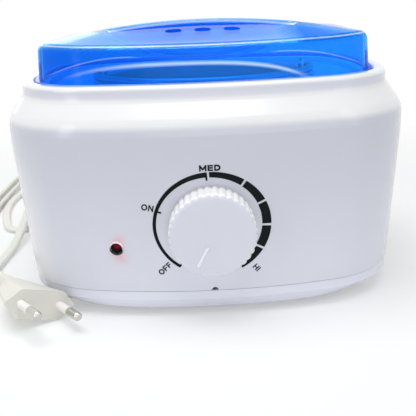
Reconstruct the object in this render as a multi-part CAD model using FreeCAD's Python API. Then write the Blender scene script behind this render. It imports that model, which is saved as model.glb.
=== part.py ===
import FreeCAD, Part
import math
import os

# Table-top wax heater: a moulded casing with a heating well, a lift-out pot with a bail handle,
# a domed lid, a thermostat dial, an indicator lamp and a flat mains lead.
# Millimetres. +X is the right side, -Y the front, +Z up. The feet stand at z 0.
# Each level of the casing is one plan of eight arcs, moved inwards by an inset.

# plan of the casing at its widest
width = 190.0
pot_room = 28.0
front_arc = 235.0
side_arc = 170.0
corner_arc = 48.0

# casing levels, from the table up
base_under = 2.4
base_floor = 2.4
base_break = 8.8
base_bend = 1.5
seam = 13.2
seam_gap = 0.3
widest_low = 76.0
widest_high = 87.0
shoulder_top = 97.5
rim_top = 103.0

# casing insets and thicknesses
wall = 2.6
seam_inset = 4.6
neck_inset = 7.9
rim_width = 5.4
rebate_depth = 1.6
ledge_width = 6.7
ledge_thickness = 3.8
base_step = 0.5
base_slope = 4.4
base_corner = 54.0
base_wall = 2.2
notch_width = 3.0
notch_x = 0.3
inner_round = 0.1
wall_sink = 0.5
cover_fit = 0.3
slot_pitch = 9.0
slot_width = 3.0
slot_length = 30.0
slot_reach = 3
slot_round = 1.4

# deck, columns and screws
deck_gap = 0.5
deck_thickness = 3.0
deck_rise = 1.0
column_radius = 4.0
column_gap = 0.3
column_inset = 15.2
boss_wall = 1.5
boss_rise = 3.2
boss_gap = 0.3
hole_gap = 0.2
pilot_radius = 1.45
pilot_depth = 14.0
screw_sink = 3.2
screw_length = 12.0
screw_head = 2.9
screw_head_height = 2.4
deck_screw_inset = 15.65
deck_screw_radius = 1.25
deck_screw_head = 2.3
deck_screw_head_height = 1.6
deck_screw_length = 5.2
deck_pilot_depth = 2.6

# feet
foot_side_inset = 43.0
foot_end_inset = 36.0
foot_radius = 7.0
foot_fit = 0.3
foot_recess = 1.4
foot_taper = 0.6
foot_round = 0.8

# pot and heating well
pot_y = 2.0
pot_radius = 52.0
pot_wall = 0.9
pot_flange = 3.6
pot_flange_height = 1.6
pot_corner = 7.0
pot_clearance = 1.0
pot_lift_gap = 0.3
deck_hole_gap = 0.4
well_floor = 32.2
well_wall = 1.2
well_flange = 7.0
well_screw_inset = 2.7
well_screw_radius = 1.1
well_screw_head = 2.1
well_screw_head_height = 1.4
well_screw_length = 3.4
well_pilot_depth = 2.4
band_low = 45.0
band_high = 80.0
band_thickness = 1.5
band_gap = 3.0
strap_low = 58.0
strap_high = 66.0
strap_thickness = 0.7
strap_ear = 7.0
strap_gap = 5.0
strap_screw_radius = 1.6
strap_screw_fit = 0.1
strap_screw_tail = 4.0
strap_screw_head = 2.8
strap_screw_head_height = 2.0
strap_slot_width = 0.8
strap_slot_depth = 1.0
skin_gap = 0.05
sleeve_gap = 0.5
sleeve_thickness = 3.0
sleeve_low = 40.0
sleeve_high = 92.0
sleeve_slot = 30.0
tab_angle = 9.5
tab_width = 5.0
tab_length = 9.0
tab_thickness = 1.0
tab_root = 0.5

# bail handle and its ears
ear_thickness = 1.2
ear_half_angle = 6.0
ear_low = 88.0
ear_top = 105.0
bail_height = 102.0
bail_wire = 1.4
bail_over = 2.0
bail_bend = 3.2
bail_fit = 0.3
bail_end = 1.2
rivet_radius = 1.8
rivet_shank = 1.08
rivet_head_height = 0.9
rivet_grip = 0.05
rivet_z = 93.0

# lid
lid_foot = 15.4
lid_fit = 0.3
lid_flange_height = 1.8
lid_wall = 2.0
lid_draft = 1.0
lid_ridge = 25.0
lid_slope_mid = 21.1
lid_edge = 17.6
lid_arch = 367.0
lid_mid_arch = 883.5
lid_end_arch = 4000.0
lid_end_inset = 10.0
lid_round = 4.0
scoop_radius = 88.0
scoop_floor = 8.1
scoop_lip = 27.0
scoop_ridge = 3.0
scoop_lean = 3.0
scoop_height = 26.0
scoop_lean_height = 20.0
scoop_sweep = 110.0
scoop_round = 5.0
lip_round = 0.9
vent_radius = 3.8
vent_pitch = 13.2
vent_y = 33.5

# thermostat and dial knob
knob_z = 43.6
knob_gap = 0.8
knob_height = 10.7
knob_peak = 18.6
knob_valley = 17.9
knob_lobes = 36
knob_edge = 1.5
knob_rim = 1.1
knob_dish = 0.6
knob_angle = 245.0
bar_start = 4.8
bar_end = 14.8
bar_width = 1.3
bar_rise = 0.5
socket_radius = 6.5
socket_depth = 3.5
shaft_radius = 3.0
shaft_flat = 0.8
shaft_end = 8.6
bushing_radius = 3.9
bushing_length = 3.2
bushing_hole_gap = 0.2
shaft_fit = 0.05
shaft_root = 2.9
shaft_well = 3.0
nut_across = 10.0
nut_height = 2.0
nut_bevel = 0.5
nut_gap = 0.06
pad_depth = 5.0
pad_size = 24.0
stat_size = 22.0
stat_depth = 11.0
stat_round = 1.2
spade_gap = 12.0
spade_width = 4.8
spade_length = 6.0
spade_thickness = 0.8
spade_drop = 2.0

# indicator lamp
lamp_x = -41.8
lamp_z = 34.0
lens_radius = 2.5
lens_dome = 0.9
lens_fit = 0.1
lens_taper = 0.6
lens_shoulder = 1.5
lens_rim = 0.2
lens_round = 1.2
lens_collar = 3.6
collar_length = 1.4
bezel_radius = 3.25
bezel_height = 0.5
bezel_round = 0.4
board_depth = 8.0
board_width = 14.0
board_height = 10.0
board_thickness = 1.6
resistor_radius = 1.1
resistor_length = 6.0
resistor_rise = 2.6
resistor_sink = 0.3
leg_width = 2.0
leg_height = 3.0
leg_gap = 1.2

# lead, relief, clamp and terminals
lead_side_inset = 50.0
lead_z = 20.0
lead_radius = 2.6
relief_sink = 9.8
relief_web = 4.2
relief_rim = 2.0
relief_flange = 6.5
relief_flange_height = 1.5
relief_flange_round = 0.5
relief_neck = 4.8
relief_root = 4.25
relief_tip = 3.2
relief_length = 30.61
relief_rings = 5
relief_ring_start = 3.2
relief_ring_pitch = 4.4
relief_ring_width = 1.3
relief_bridge = 3.0
relief_fit = 0.2
relief_bore = 8.0
clamp_run = 13.0
clamp_width = 25.0
clamp_length = 9.0
clamp_cap = 3.0
clamp_grip = 0.3
clamp_round = 1.0
clamp_screw_gap = 17.4
clamp_screw_head = 2.6
clamp_screw_head_height = 1.8
clamp_screw_length = 15.0
clamp_pilot_depth = 9.0
tail_run = 13.0
block_shift = 9.0
block_y = 18.0
block_width = 32.0
block_length = 16.0
block_height = 14.0
block_round = 0.8
terminal_pitch = 5.2
terminal_hole = 1.9
terminal_screw = 1.6
terminal_depth = 4.0
terminal_sink = 1.2
wire_radius = 1.1
wire_high = 7.2
wire_low = 3.0
wire_end = 5.0
core_gap = 2.6
stat_wire_turn = 40.0
stat_wire_side = 30.0
stat_wire_slack = 7.0
stat_wire_rise = 2.0
stat_wire_drop = 5.3
fuse_wire_rise = 4.0
fuse_wire_run = 13.0
fuse_wire_drop = 1.0
fuse_wire_reach = 23.0
fuse_wire_end = 11.0
band_wire_end = 10.0
band_wire_run = 14.0
band_wire_rise = 2.0
band_wire_drop = 14.0
return_wire_side = 18.0
return_wire_run = 10.0
return_wire_low = 8.2
return_wire_end = 12.0
lamp_wire_gap = 6.0
lamp_wire_rise = 4.0
lamp_wire_side = 3.0
lamp_wire_run = 16.0
lamp_wire_end = 12.0
fuse_radius = 2.2
fuse_length = 22.0
fuse_x = 6.0
fuse_round = 0.6
clip_thickness = 0.6
clip_length = 10.0
clip_wing = 6.0

# coil of spare lead and the plug
coil_x = 30.0
coil_y = 167.5
coil_inner = 19.7
coil_outer = 35.3
coil_height = 10.5
coil_round = 2.5
plug_x = -77.1
plug_y = -69.4
plug_z = 9.7
plug_yaw = 35.4
plug_pitch = 3.0
plug_roll = -18.6
plug_width = 34.4
plug_flat = 20.0
plug_height = 13.4
plug_mid = 20.0
plug_mid_width = 25.0
plug_mid_flat = 14.0
plug_mid_height = 9.6
plug_back = 33.0
plug_back_width = 12.0
plug_back_flat = 7.0
plug_back_height = 8.0
plug_edge_round = 1.5
plug_round = 3.0
plug_cone = 17.6
plug_cone_root = 4.0
plug_cone_tip = 3.0
pin_radius = 2.0
pin_length = 19.0
pin_spacing = 18.6
pin_root = 8.0
pin_round = 1.3
pin_core = 1.3
shell_length = 10.0
shell_step = 0.05

vector = FreeCAD.Vector
up = vector(0, 0, 1)
os.makedirs("parts", exist_ok=True)

# plan, levels and insets that follow
depth = 2 * (pot_radius + pot_room)
foot_x = width / 2 - foot_side_inset
foot_y = depth / 2 - foot_end_inset
lead_x = lead_side_inset - width / 2
relief_seat = depth / 2 - relief_sink
relief_inside = relief_seat - relief_web
clamp_y = relief_inside - clamp_run
tail_end = clamp_y - tail_run
block_x = lead_x + block_shift
bail_arc = pot_radius + bail_over
ledge_top = rim_top - rebate_depth
ledge_under = ledge_top - ledge_thickness
rebate_inset = neck_inset + rim_width
ledge_inset = rebate_inset + ledge_width
deck_under = ledge_under - deck_thickness
deck_top = ledge_under + deck_rise
floor_top = base_under + base_floor
base_top = seam - seam_gap
tilt = math.atan2(seam_inset, widest_low - seam)
well_radius = pot_radius + pot_clearance
well_outer = well_radius + well_wall
well_under = well_floor - well_wall
band_inner = well_outer + skin_gap
band_outer = band_inner + band_thickness
strap_inner = band_outer + skin_gap
strap_outer = strap_inner + strap_thickness
sleeve_inner = strap_outer + sleeve_gap
sleeve_outer = sleeve_inner + sleeve_thickness
pot_inner = pot_radius - pot_wall
pot_under = well_floor + pot_lift_gap
pot_rim = deck_top + pot_flange_height
fuse_z = well_under - fuse_radius
boss_top = floor_top + boss_rise


# ---- outlines and solids ----

def plan_arcs(inset=0.0, corner=None):
    """Eight arcs, anticlockwise from the front: centre, radius, start and sweep in radians."""
    corner_r = corner_arc - inset if corner is None else corner
    front_r = front_arc - inset
    side_r = side_arc - inset
    p = front_arc - depth / 2
    q = width / 2 - side_arc
    span = math.hypot(p, q)
    along = ((front_r - corner_r) ** 2 - (side_r - corner_r) ** 2 + span ** 2) / (2 * span)
    across = math.sqrt((front_r - corner_r) ** 2 - along ** 2)
    x = (along * q + across * p) / span
    y = p + (across * q - along * p) / span
    f = math.atan2(y - p, x)
    s = math.atan2(y, x - q)
    turn = math.pi
    return [
        (vector(0, p, 0), front_r, -turn - f, turn + 2 * f),
        (vector(x, y, 0), corner_r, f, s - f),
        (vector(q, 0, 0), side_r, s, -2 * s),
        (vector(x, -y, 0), corner_r, -s, s - f),
        (vector(0, -p, 0), front_r, -f, turn + 2 * f),
        (vector(-x, -y, 0), corner_r, turn + f, s - f),
        (vector(-q, 0, 0), side_r, turn + s, -2 * s),
        (vector(-x, y, 0), corner_r, turn - s, s - f),
    ]


def heading(angle):
    return vector(math.cos(angle), math.sin(angle), 0)


def outline(inset, z, corner=None):
    edges = []
    for centre, radius, start, sweep in plan_arcs(inset, corner):
        spots = [centre + heading(start + sweep * part) * radius + up * z for part in (0, 0.5, 1)]
        edges.append(Part.Arc(*spots).toShape())
    return Part.Wire(edges)


def rounded(points, closed=True):
    """Pieces of a 2-D path: two points make a line, three an arc. A third number is a fillet."""
    stops = []
    for i, point in enumerate(points):
        here = vector(point[0], point[1], 0)
        at_end = not closed and i in (0, len(points) - 1)
        if len(point) < 3 or at_end:
            stops.append([here])
            continue
        before = points[i - 1]
        after = points[(i + 1) % len(points)]
        back = (vector(before[0], before[1], 0) - here).normalize()
        on = (vector(after[0], after[1], 0) - here).normalize()
        half = back.getAngle(on) / 2
        reach = point[2] / math.tan(half)
        middle = here + (back + on).normalize() * (point[2] / math.sin(half) - point[2])
        stops.append([here + back * reach, middle, here + on * reach])
    pieces = []
    for i, stop in enumerate(stops):
        if len(stop) == 3:
            pieces.append(stop)
        if closed or i < len(stops) - 1:
            pieces.append([stop[-1], stops[(i + 1) % len(stops)][0]])
    return pieces


def wire_of(pieces, place):
    edges = []
    for piece in pieces:
        spots = [place(spot) for spot in piece]
        curve = Part.Arc(*spots) if len(spots) == 3 else Part.LineSegment(*spots)
        edges.append(curve.toShape())
    return Part.Wire(edges)


def solid_of(faces):
    skin = Part.makeCompound(faces)
    skin.sewShape(0.0001)
    solid = Part.makeSolid(skin.Shells[0])
    if solid.Volume < 0:
        solid.reverse()
    return solid


def swept_faces(pieces):
    """Carries a path of (inset, z) round the plan."""
    faces = []
    for centre, radius, start, sweep in plan_arcs():
        out = heading(start)
        section = wire_of(pieces, lambda spot: centre + out * (radius - spot.x) + up * spot.y)
        faces += section.revolve(centre, up, math.degrees(sweep)).Faces
    return faces


def ring(points):
    return solid_of(swept_faces(rounded(points)))


def block(points):
    faces = swept_faces(rounded(points, False))
    for end in (points[0], points[-1]):
        faces.append(Part.Face(outline(end[0], end[1])))
    return solid_of(faces)


def turned(points, closed=True):
    """A solid turned about +Z from a path of (radius, z)."""
    section = wire_of(rounded(points, closed), lambda spot: vector(spot.x, 0, spot.y))
    return Part.Face(section).revolve(vector(0, 0, 0), up, 360)


def drum(radius, low, high, x=0.0, y=0.0):
    return Part.makeCylinder(radius, high - low, vector(x, y, low))


def pipe(inner, outer, low, high, x=0.0, y=0.0):
    return drum(outer, low, high, x, y).cut(drum(inner, low - 1, high + 1, x, y))


def rod(radius, front, rear, x, z):
    """A cylinder along Y."""
    return Part.makeCylinder(radius, rear - front, vector(x, front, z), vector(0, 1, 0))


def brick(x, y, low, size_x, size_y, high):
    return Part.makeBox(size_x, size_y, high - low, vector(x - size_x / 2, y - size_y / 2, low))


def upright(shape):
    """The edges of a block that stand on end."""
    return [edge for edge in shape.Edges if abs(edge.tangentAt(0).z) > 0.9]


def put(shape, frame):
    moved = shape.copy()
    moved.Placement = frame.multiply(moved.Placement)
    return moved


def frame_at(origin, side, rise, out):
    rows = [side.x, rise.x, out.x, origin.x, side.y, rise.y, out.y, origin.y]
    rows += [side.z, rise.z, out.z, origin.z, 0, 0, 0, 1]
    return FreeCAD.Placement(FreeCAD.Matrix(*rows))


def wall_inset(z):
    return seam_inset * (widest_low - z) / (widest_low - seam)


def front_frame(x, z):
    """Local +Z points out of the front wall, +X to the right and +Y up the wall."""
    radius = front_arc - wall_inset(z)
    turn = math.asin(x / radius)
    centre_y = front_arc - depth / 2
    out = vector(math.sin(turn), -math.cos(turn), -math.tan(tilt)).normalize()
    side = vector(math.cos(turn), math.sin(turn), 0)
    return frame_at(vector(x, centre_y - radius * math.cos(turn), z), side, out.cross(side), out)


def tube(points, radius):
    """Straight runs joined by tangent arcs, each as large as its two runs allow."""
    spots = [vector(*point) for point in points]
    edges = []
    bends = []
    last = spots[0]
    for i in range(1, len(spots) - 1):
        back = spots[i - 1] - spots[i]
        on = spots[i + 1] - spots[i]
        turn = math.pi - back.getAngle(on)
        reach = 0.45 * min(back.Length, on.Length)
        bend = reach / math.tan(turn / 2)
        back.normalize()
        on.normalize()
        middle = spots[i] + (back + on).normalize() * (bend / math.cos(turn / 2) - bend)
        first = spots[i] + back * reach
        edges.append(Part.LineSegment(last, first).toShape())
        last = spots[i] + on * reach
        edges.append(Part.Arc(first, middle, last).toShape())
        bends.append(bend)
    edges.append(Part.LineSegment(last, spots[-1]).toShape())
    path = Part.Wire(edges)
    section = Part.Wire(Part.makeCircle(radius, spots[0], spots[1] - spots[0]))
    return path.makePipeShell([section], True, True), path.Length, bends


def save(node, shape, moved=True):
    """Writes one node. The casing stands body_y behind the origin, which is under the middle."""
    shape = shape.removeSplitter()
    if moved:
        shape = put(shape, FreeCAD.Placement(vector(0, body_y, 0), FreeCAD.Rotation()))
    good = "" if shape.isValid() else "  NOT VALID"
    shape.exportStep("parts/" + node + ".step")
    print(f"{node:18s} {len(shape.Solids):2d} solid {shape.Volume / 1000:9.3f} cm3{good}")


def corner_spots(inset):
    """The middle of each rounded corner, at an inset."""
    spots = []
    for centre, radius, start, sweep in plan_arcs()[1::2]:
        spots.append(centre + heading(start + sweep / 2) * (radius - inset))
    return spots


# ---- casing ----

knob_frame = front_frame(0.0, knob_z)
lamp_frame = front_frame(lamp_x, lamp_z)
columns = corner_spots(column_inset)
deck_screw_spots = [(width / 2 - deck_screw_inset, 0), (deck_screw_inset - width / 2, 0)]
deck_screw_spots += [(0, depth / 2 - deck_screw_inset), (0, deck_screw_inset - depth / 2)]


def upper_housing():
    inside = wall + neck_inset - inner_round
    shell = ring([
        (seam_inset, seam), (0, widest_low, 80), (0, widest_high, 12),
        (neck_inset, shoulder_top, 6), (neck_inset, rim_top, 2.2), (rebate_inset, rim_top, 0.8),
        (rebate_inset, ledge_top), (ledge_inset, ledge_top, 0.5), (ledge_inset, ledge_under),
        (inside, ledge_under), (inside, shoulder_top - 0.8, 3), (wall, widest_high - wall_sink, 10),
        (wall, widest_low, 60), (wall + seam_inset, seam),
    ])
    for spot in columns:
        post = drum(column_radius, boss_top + boss_gap, ledge_under + wall_sink, spot.x, spot.y)
        hole = drum(pilot_radius, boss_top, boss_top + boss_gap + pilot_depth, spot.x, spot.y)
        shell = shell.fuse(post).cut(hole)
    pad = brick(0, 0, -pad_depth, pad_size, pad_size, -wall / 2)
    shell = shell.fuse(put(pad, knob_frame))
    shell = shell.cut(put(drum(bushing_radius + bushing_hole_gap, -pad_depth - 1, 2), knob_frame))
    lens_hole = lens_radius + lens_fit
    shell = shell.fuse(put(pipe(lens_hole, lens_collar, -wall - collar_length, -wall / 2), lamp_frame))
    shell = shell.cut(put(drum(lens_hole, -2 * wall, wall), lamp_frame))
    seat = rod(relief_flange + relief_rim, relief_inside + 1, relief_seat, lead_x, lead_z)
    pocket = rod(relief_flange + relief_fit, relief_seat, depth / 2, lead_x, lead_z)
    bore = rod(relief_neck + relief_fit, relief_inside, depth / 2, lead_x, lead_z)
    shell = shell.fuse(seat).cut(pocket).cut(bore)
    shell = shell.cut(rod(notch_width / 2, -depth / 2, wall * 3 - depth / 2, notch_x, seam))
    for x, y in deck_screw_spots:
        shell = shell.cut(drum(deck_screw_radius, ledge_under - 1, ledge_under + deck_pilot_depth, x, y))
    return shell


def inner_deck():
    edge = wall + neck_inset + deck_gap
    deck = block([(edge, deck_under), (edge, ledge_under)])
    field = ledge_inset + deck_gap
    deck = deck.fuse(block([(field, deck_under), (field, deck_top - 0.6), (field + 0.6, deck_top)]))
    deck = deck.cut(drum(well_radius + deck_hole_gap, deck_under - 1, deck_top + 1, 0, pot_y))
    for spot in columns:
        deck = deck.cut(drum(column_radius + column_gap, deck_under - 1, deck_top + 1, spot.x, spot.y))
    for x, y in deck_screw_spots:
        deck = deck.cut(drum(deck_screw_radius + hole_gap, deck_under - 1, deck_top, x, y))
    for x, y in well_screw_spots():
        deck = deck.cut(drum(well_screw_radius, deck_under - 1, deck_under + well_pilot_depth, x, y))
    return deck


def well_screw_spots():
    reach = (well_radius + well_flange - well_screw_inset) * math.sqrt(0.5)
    return [(side * reach, pot_y + end * reach) for side in (-1, 1) for end in (-1, 1)]


def screw(x, y, seat, head, head_height, shank, length):
    """A screw that points up; its cross-slotted head is below the seat."""
    under = seat - head_height
    slot_top = under + head_height * 0.45
    long_side = head * 1.1
    short_side = head * 0.24
    body = drum(head, under, seat, x, y)
    for size_x, size_y in ((long_side, short_side), (short_side, long_side)):
        body = body.cut(brick(x, y, under - 1, size_x, size_y, slot_top))
    return body.fuse(drum(shank, seat, seat + length, x, y))


def screws(spots, *sizes):
    return Part.makeCompound([screw(x, y, *sizes) for x, y in spots])


def base_screws():
    spots = [(spot.x, spot.y) for spot in columns]
    return screws(spots, base_under + screw_sink, screw_head, screw_head_height, pilot_radius, screw_length)


def deck_screws():
    sizes = (deck_under, deck_screw_head, deck_screw_head_height, deck_screw_radius, deck_screw_length)
    return screws(deck_screw_spots, *sizes)


def well_screws():
    seat = deck_under - well_wall
    sizes = (seat, well_screw_head, well_screw_head_height, well_screw_radius, well_screw_length)
    return screws(well_screw_spots(), *sizes)


def base_cover():
    levels = [(seam_inset + cover_fit, base_top, None), (seam_inset + base_step, base_break, None)]
    levels += [(seam_inset + base_step + base_slope * 0.8, base_under + base_bend, base_corner)]
    levels += [(seam_inset + base_step + base_slope * 1.25, base_under, base_corner)]
    shell = Part.makeLoft([outline(*level) for level in levels], True, True)
    hollow = [(levels[0][0] + base_wall, base_top + 0.01, None), (levels[1][0] + base_wall, base_break, None)]
    hollow += [(levels[2][0] + base_wall, floor_top, base_corner)]
    shell = shell.cut(Part.makeLoft([outline(*level) for level in hollow], True, True))
    for spot in columns:
        shell = shell.fuse(drum(column_radius + boss_wall, floor_top - 1, boss_top, spot.x, spot.y))
        head_hole = screw_head + cover_fit
        shell = shell.cut(drum(head_hole, base_under - 1, base_under + screw_sink, spot.x, spot.y))
        shell = shell.cut(drum(pilot_radius + hole_gap, base_under, boss_top + 1, spot.x, spot.y))
    for x in (-foot_x, foot_x):
        for y in (-foot_y, foot_y):
            shell = shell.cut(drum(foot_radius + foot_fit, base_under - 1, base_under + foot_recess, x, y))
    shell = shell.cut(rod(relief_flange + relief_rim + cover_fit, relief_inside, depth / 2, lead_x, lead_z))
    rest = brick(lead_x, clamp_y, floor_top - 1, clamp_width, clamp_length, lead_z - lead_radius)
    shell = shell.fuse(rest)
    for side in (-0.5, 0.5):
        x = lead_x + side * clamp_screw_gap
        shell = shell.cut(drum(pilot_radius, lead_z - lead_radius - clamp_pilot_depth, lead_z, x, clamp_y))
    for i in range(-slot_reach, slot_reach + 1):
        slot = brick(i * slot_pitch, 0, base_under - 1, slot_width, slot_length, floor_top + 1)
        shell = shell.cut(slot.makeFillet(slot_round, upright(slot)))
    return shell


def foot(x, y):
    top = base_under + foot_recess
    pad = turned([(0, 0), (foot_radius - foot_taper, 0, foot_round), (foot_radius, top), (0, top)])
    return put(pad, FreeCAD.Placement(vector(x, y, 0), FreeCAD.Rotation()))


# ---- heating ----

def at_pot(shape):
    return put(shape, FreeCAD.Placement(vector(0, pot_y, 0), FreeCAD.Rotation()))


def heating_well():
    flange = well_radius + well_flange
    well = at_pot(turned([
        (0, well_under), (well_outer, well_under, pot_corner + well_wall),
        (well_outer, deck_under - well_wall, 0.8), (flange, deck_under - well_wall), (flange, deck_under),
        (well_radius, deck_under, 0.8),
        (well_radius, well_floor, pot_corner), (0, well_floor),
    ]))
    for x, y in well_screw_spots():
        well = well.cut(drum(well_screw_radius + hole_gap, deck_under - 2 * well_wall, deck_under + 1, x, y))
    return well


def hoop(inner, outer, low, high, gap):
    """A band round the well, open at the rear."""
    band = pipe(inner, outer, low, high, 0, pot_y)
    return band.cut(brick(0, pot_y + outer, low - 1, gap, outer, high + 1))


def heater_band():
    band = hoop(band_inner, band_outer, band_low, band_high, band_gap)
    middle = (band_inner + band_outer) / 2
    tab = brick(0, middle, band_low - tab_length, tab_width, tab_thickness, band_low + tab_root)
    for angle in (-tab_angle, tab_angle):
        band = band.fuse(put(tab, FreeCAD.Placement(vector(0, pot_y, 0), FreeCAD.Rotation(up, angle))))
    return band


strap_middle = (strap_low + strap_high) / 2
strap_ear_y = pot_y + strap_outer + strap_ear / 2
strap_half = strap_gap / 2 + strap_thickness


def clamp_strap():
    strap = hoop(strap_inner, strap_outer, strap_low, strap_high, strap_gap)
    start = vector(-2 * strap_half, strap_ear_y, strap_middle)
    hole = Part.makeCylinder(strap_screw_radius + strap_screw_fit, 4 * strap_half, start, vector(1, 0, 0))
    for side in (-1, 1):
        x = side * (strap_gap + strap_thickness) / 2
        y = pot_y + strap_inner + strap_ear / 2
        strap = strap.fuse(brick(x, y, strap_low, strap_thickness, strap_ear, strap_high))
    return strap.cut(hole)


def strap_screw():
    along = vector(1, 0, 0)
    under = vector(-strap_half - strap_screw_head_height, strap_ear_y, strap_middle)
    length = 2 * strap_half + strap_screw_head_height + strap_screw_tail
    body = Part.makeCylinder(strap_screw_radius, length, under, along)
    head = Part.makeCylinder(strap_screw_head, strap_screw_head_height, under, along)
    corner = under - vector(0, strap_screw_head, strap_slot_width / 2)
    return body.fuse(head).cut(Part.makeBox(strap_slot_depth, 2 * strap_screw_head, strap_slot_width, corner))


def insulation_sleeve():
    return hoop(sleeve_inner, sleeve_outer, sleeve_low, sleeve_high, sleeve_slot)


def thermal_fuse():
    body = rod(fuse_radius, pot_y - fuse_length / 2, pot_y + fuse_length / 2, fuse_x, fuse_z)
    return body.makeFillet(fuse_round, [edge for edge in body.Edges if edge.BoundBox.YLength < fuse_round])


def fuse_clip():
    outer = fuse_radius + clip_thickness
    ends = (pot_y - clip_length / 2, pot_y + clip_length / 2)
    band = rod(outer, *ends, fuse_x, fuse_z)
    for size, low in ((2 * outer, fuse_z), (2 * (outer + clip_wing), well_under - clip_thickness)):
        band = band.fuse(brick(fuse_x, pot_y, low, size, clip_length, well_under))
    band = band.cut(rod(fuse_radius, *ends, fuse_x, fuse_z))
    return band.cut(brick(fuse_x, pot_y, fuse_z, 2 * fuse_radius, 2 * clip_length, well_under + 1))


# ---- thermostat, knob and lamp ----

def thermostat_body():
    box = brick(0, 0, -pad_depth - stat_depth, stat_size, stat_size, -pad_depth)
    box = box.makeFillet(stat_round, upright(box))
    box = box.fuse(drum(bushing_radius, -pad_depth, bushing_length))
    box = box.cut(drum(shaft_radius + shaft_fit, -pad_depth - shaft_well, bushing_length + 1))
    spade_y = -stat_size / 2 - spade_drop
    spade_under = -pad_depth - (stat_depth + spade_thickness) / 2
    for side in (-0.5, 0.5):
        size = (spade_width, spade_length, spade_under + spade_thickness)
        box = box.fuse(brick(side * spade_gap, spade_y, spade_under, *size))
    return put(box, knob_frame)


def d_shaft(radius, low, high):
    flat = brick(0, radius * 2 - shaft_flat, low - 1, radius * 3, radius * 2, high + 1)
    return drum(radius, low, high).cut(flat)


def thermostat_shaft():
    round_part = drum(shaft_radius, -pad_depth - shaft_root, bushing_length)
    return put(round_part.fuse(d_shaft(shaft_radius, bushing_length, shaft_end)), knob_frame)


def thermostat_nut():
    across = nut_across / math.sqrt(3)
    corners = [heading(math.radians(60 * i)) * across for i in range(7)]
    hexagon = Part.Face(Part.makePolygon(corners)).extrude(up * nut_height)
    bevel = turned([
        (0, -1), (across, -1), (across, nut_height - nut_bevel), (nut_across / 2, nut_height),
        (0, nut_height),
    ])
    nut = hexagon.common(bevel).cut(drum(bushing_radius, -1, nut_height + 1))
    nut.translate(up * nut_gap)
    return put(nut, knob_frame)


def dial_knob():
    step = 2 * math.pi / knob_lobes
    edges = []
    for i in range(knob_lobes):
        start = heading(step * i) * knob_valley
        crest = heading(step * (i + 0.5)) * knob_peak
        end = heading(step * (i + 1)) * knob_valley
        edges.append(Part.Arc(start, crest, end).toShape())
    top = knob_gap + knob_height
    face = top - knob_dish
    fluted = Part.Face(Part.Wire(edges)).extrude(up * top)
    inner = knob_valley - knob_edge - knob_rim
    form = turned([
        (0, knob_gap), (knob_peak + 0.1, knob_gap), (knob_peak + 0.1, top, knob_edge),
        (inner + knob_dish, top, 0.3), (inner, face, 0.3), (0, face),
    ])
    knob = fluted.common(form)
    bar = brick((bar_start + bar_end) / 2, 0, face - 1, bar_end - bar_start, bar_width, face + bar_rise)
    bar.rotate(vector(0, 0, 0), up, knob_angle)
    knob = knob.fuse(bar).cut(drum(socket_radius, 0, knob_gap + socket_depth))
    return put(knob.cut(d_shaft(shaft_radius, 0, shaft_end)), knob_frame)


def indicator_lens():
    lens = turned([
        (0, -board_depth), (lens_radius - lens_taper, -board_depth),
        (lens_radius, lens_shoulder - board_depth), (lens_radius, lens_rim, lens_round), (0, lens_dome),
    ])
    return put(lens, lamp_frame)


def lamp_bezel():
    inner = lens_radius + lens_fit
    return put(turned([
        (inner, 0), (bezel_radius, 0), (bezel_radius, bezel_height, bezel_round), (inner, bezel_height),
    ]), lamp_frame)


def lamp_board():
    board = brick(0, 0, -board_depth - board_thickness, board_width, board_height, -board_depth)
    resistor_z = resistor_sink - board_depth - board_thickness - resistor_radius
    start = vector(-resistor_length / 2, resistor_rise, resistor_z)
    board = board.fuse(Part.makeCylinder(resistor_radius, resistor_length, start, vector(1, 0, 0)))
    for side in (-0.5, 0.5):
        leg_x = side * (board_width - leg_width)
        board = board.fuse(brick(leg_x, 0, -board_depth, leg_width, leg_height, -wall - leg_gap))
    return put(board, lamp_frame)


# ---- pot, bail and lid ----

def wax_pot():
    lip = pot_radius + pot_flange
    return at_pot(turned([
        (0, pot_under), (pot_radius, pot_under, pot_corner), (pot_radius, deck_top, 0.6),
        (lip, deck_top, 0.7), (lip, pot_rim, 0.7), (pot_inner, pot_rim, 1.4),
        (pot_inner, pot_under + pot_wall, pot_corner - pot_wall), (0, pot_under + pot_wall),
    ]))


def pot_ears():
    """Two plates inside the pot, each with a round top and holes for the bail and a rivet."""
    along = vector(1, 0, 0)
    reach = pot_inner * math.tan(math.radians(ear_half_angle))
    plates = pipe(pot_inner - ear_thickness, pot_inner, ear_low, ear_top)
    ears = []
    for start in (-pot_radius, 0):
        crown = Part.makeCylinder(reach, pot_radius, vector(start, 0, ear_top - reach), along)
        lower = brick(start + pot_radius / 2, 0, ear_low, pot_radius, 2 * reach, ear_top - reach)
        eye = Part.makeCylinder(bail_wire + bail_fit, pot_radius, vector(start, 0, bail_height), along)
        rivet_hole = Part.makeCylinder(rivet_shank, pot_radius, vector(start, 0, rivet_z), along)
        ears.append(plates.common(crown.fuse(lower)).cut(eye).cut(rivet_hole))
    return at_pot(Part.makeCompound(ears))


def ear_rivets():
    rivets = []
    for side in (-1, 1):
        inwards = vector(-side, 0, 0)
        root = vector(side * (pot_inner - rivet_grip), 0, rivet_z)
        shank = Part.makeCylinder(rivet_shank, ear_thickness + rivet_head_height / 2, root, inwards)
        seat = root + inwards * (ear_thickness + rivet_grip)
        rivets.append(shank.fuse(Part.makeCylinder(rivet_radius, rivet_head_height, seat, inwards)))
    return at_pot(Part.makeCompound(rivets))


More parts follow.
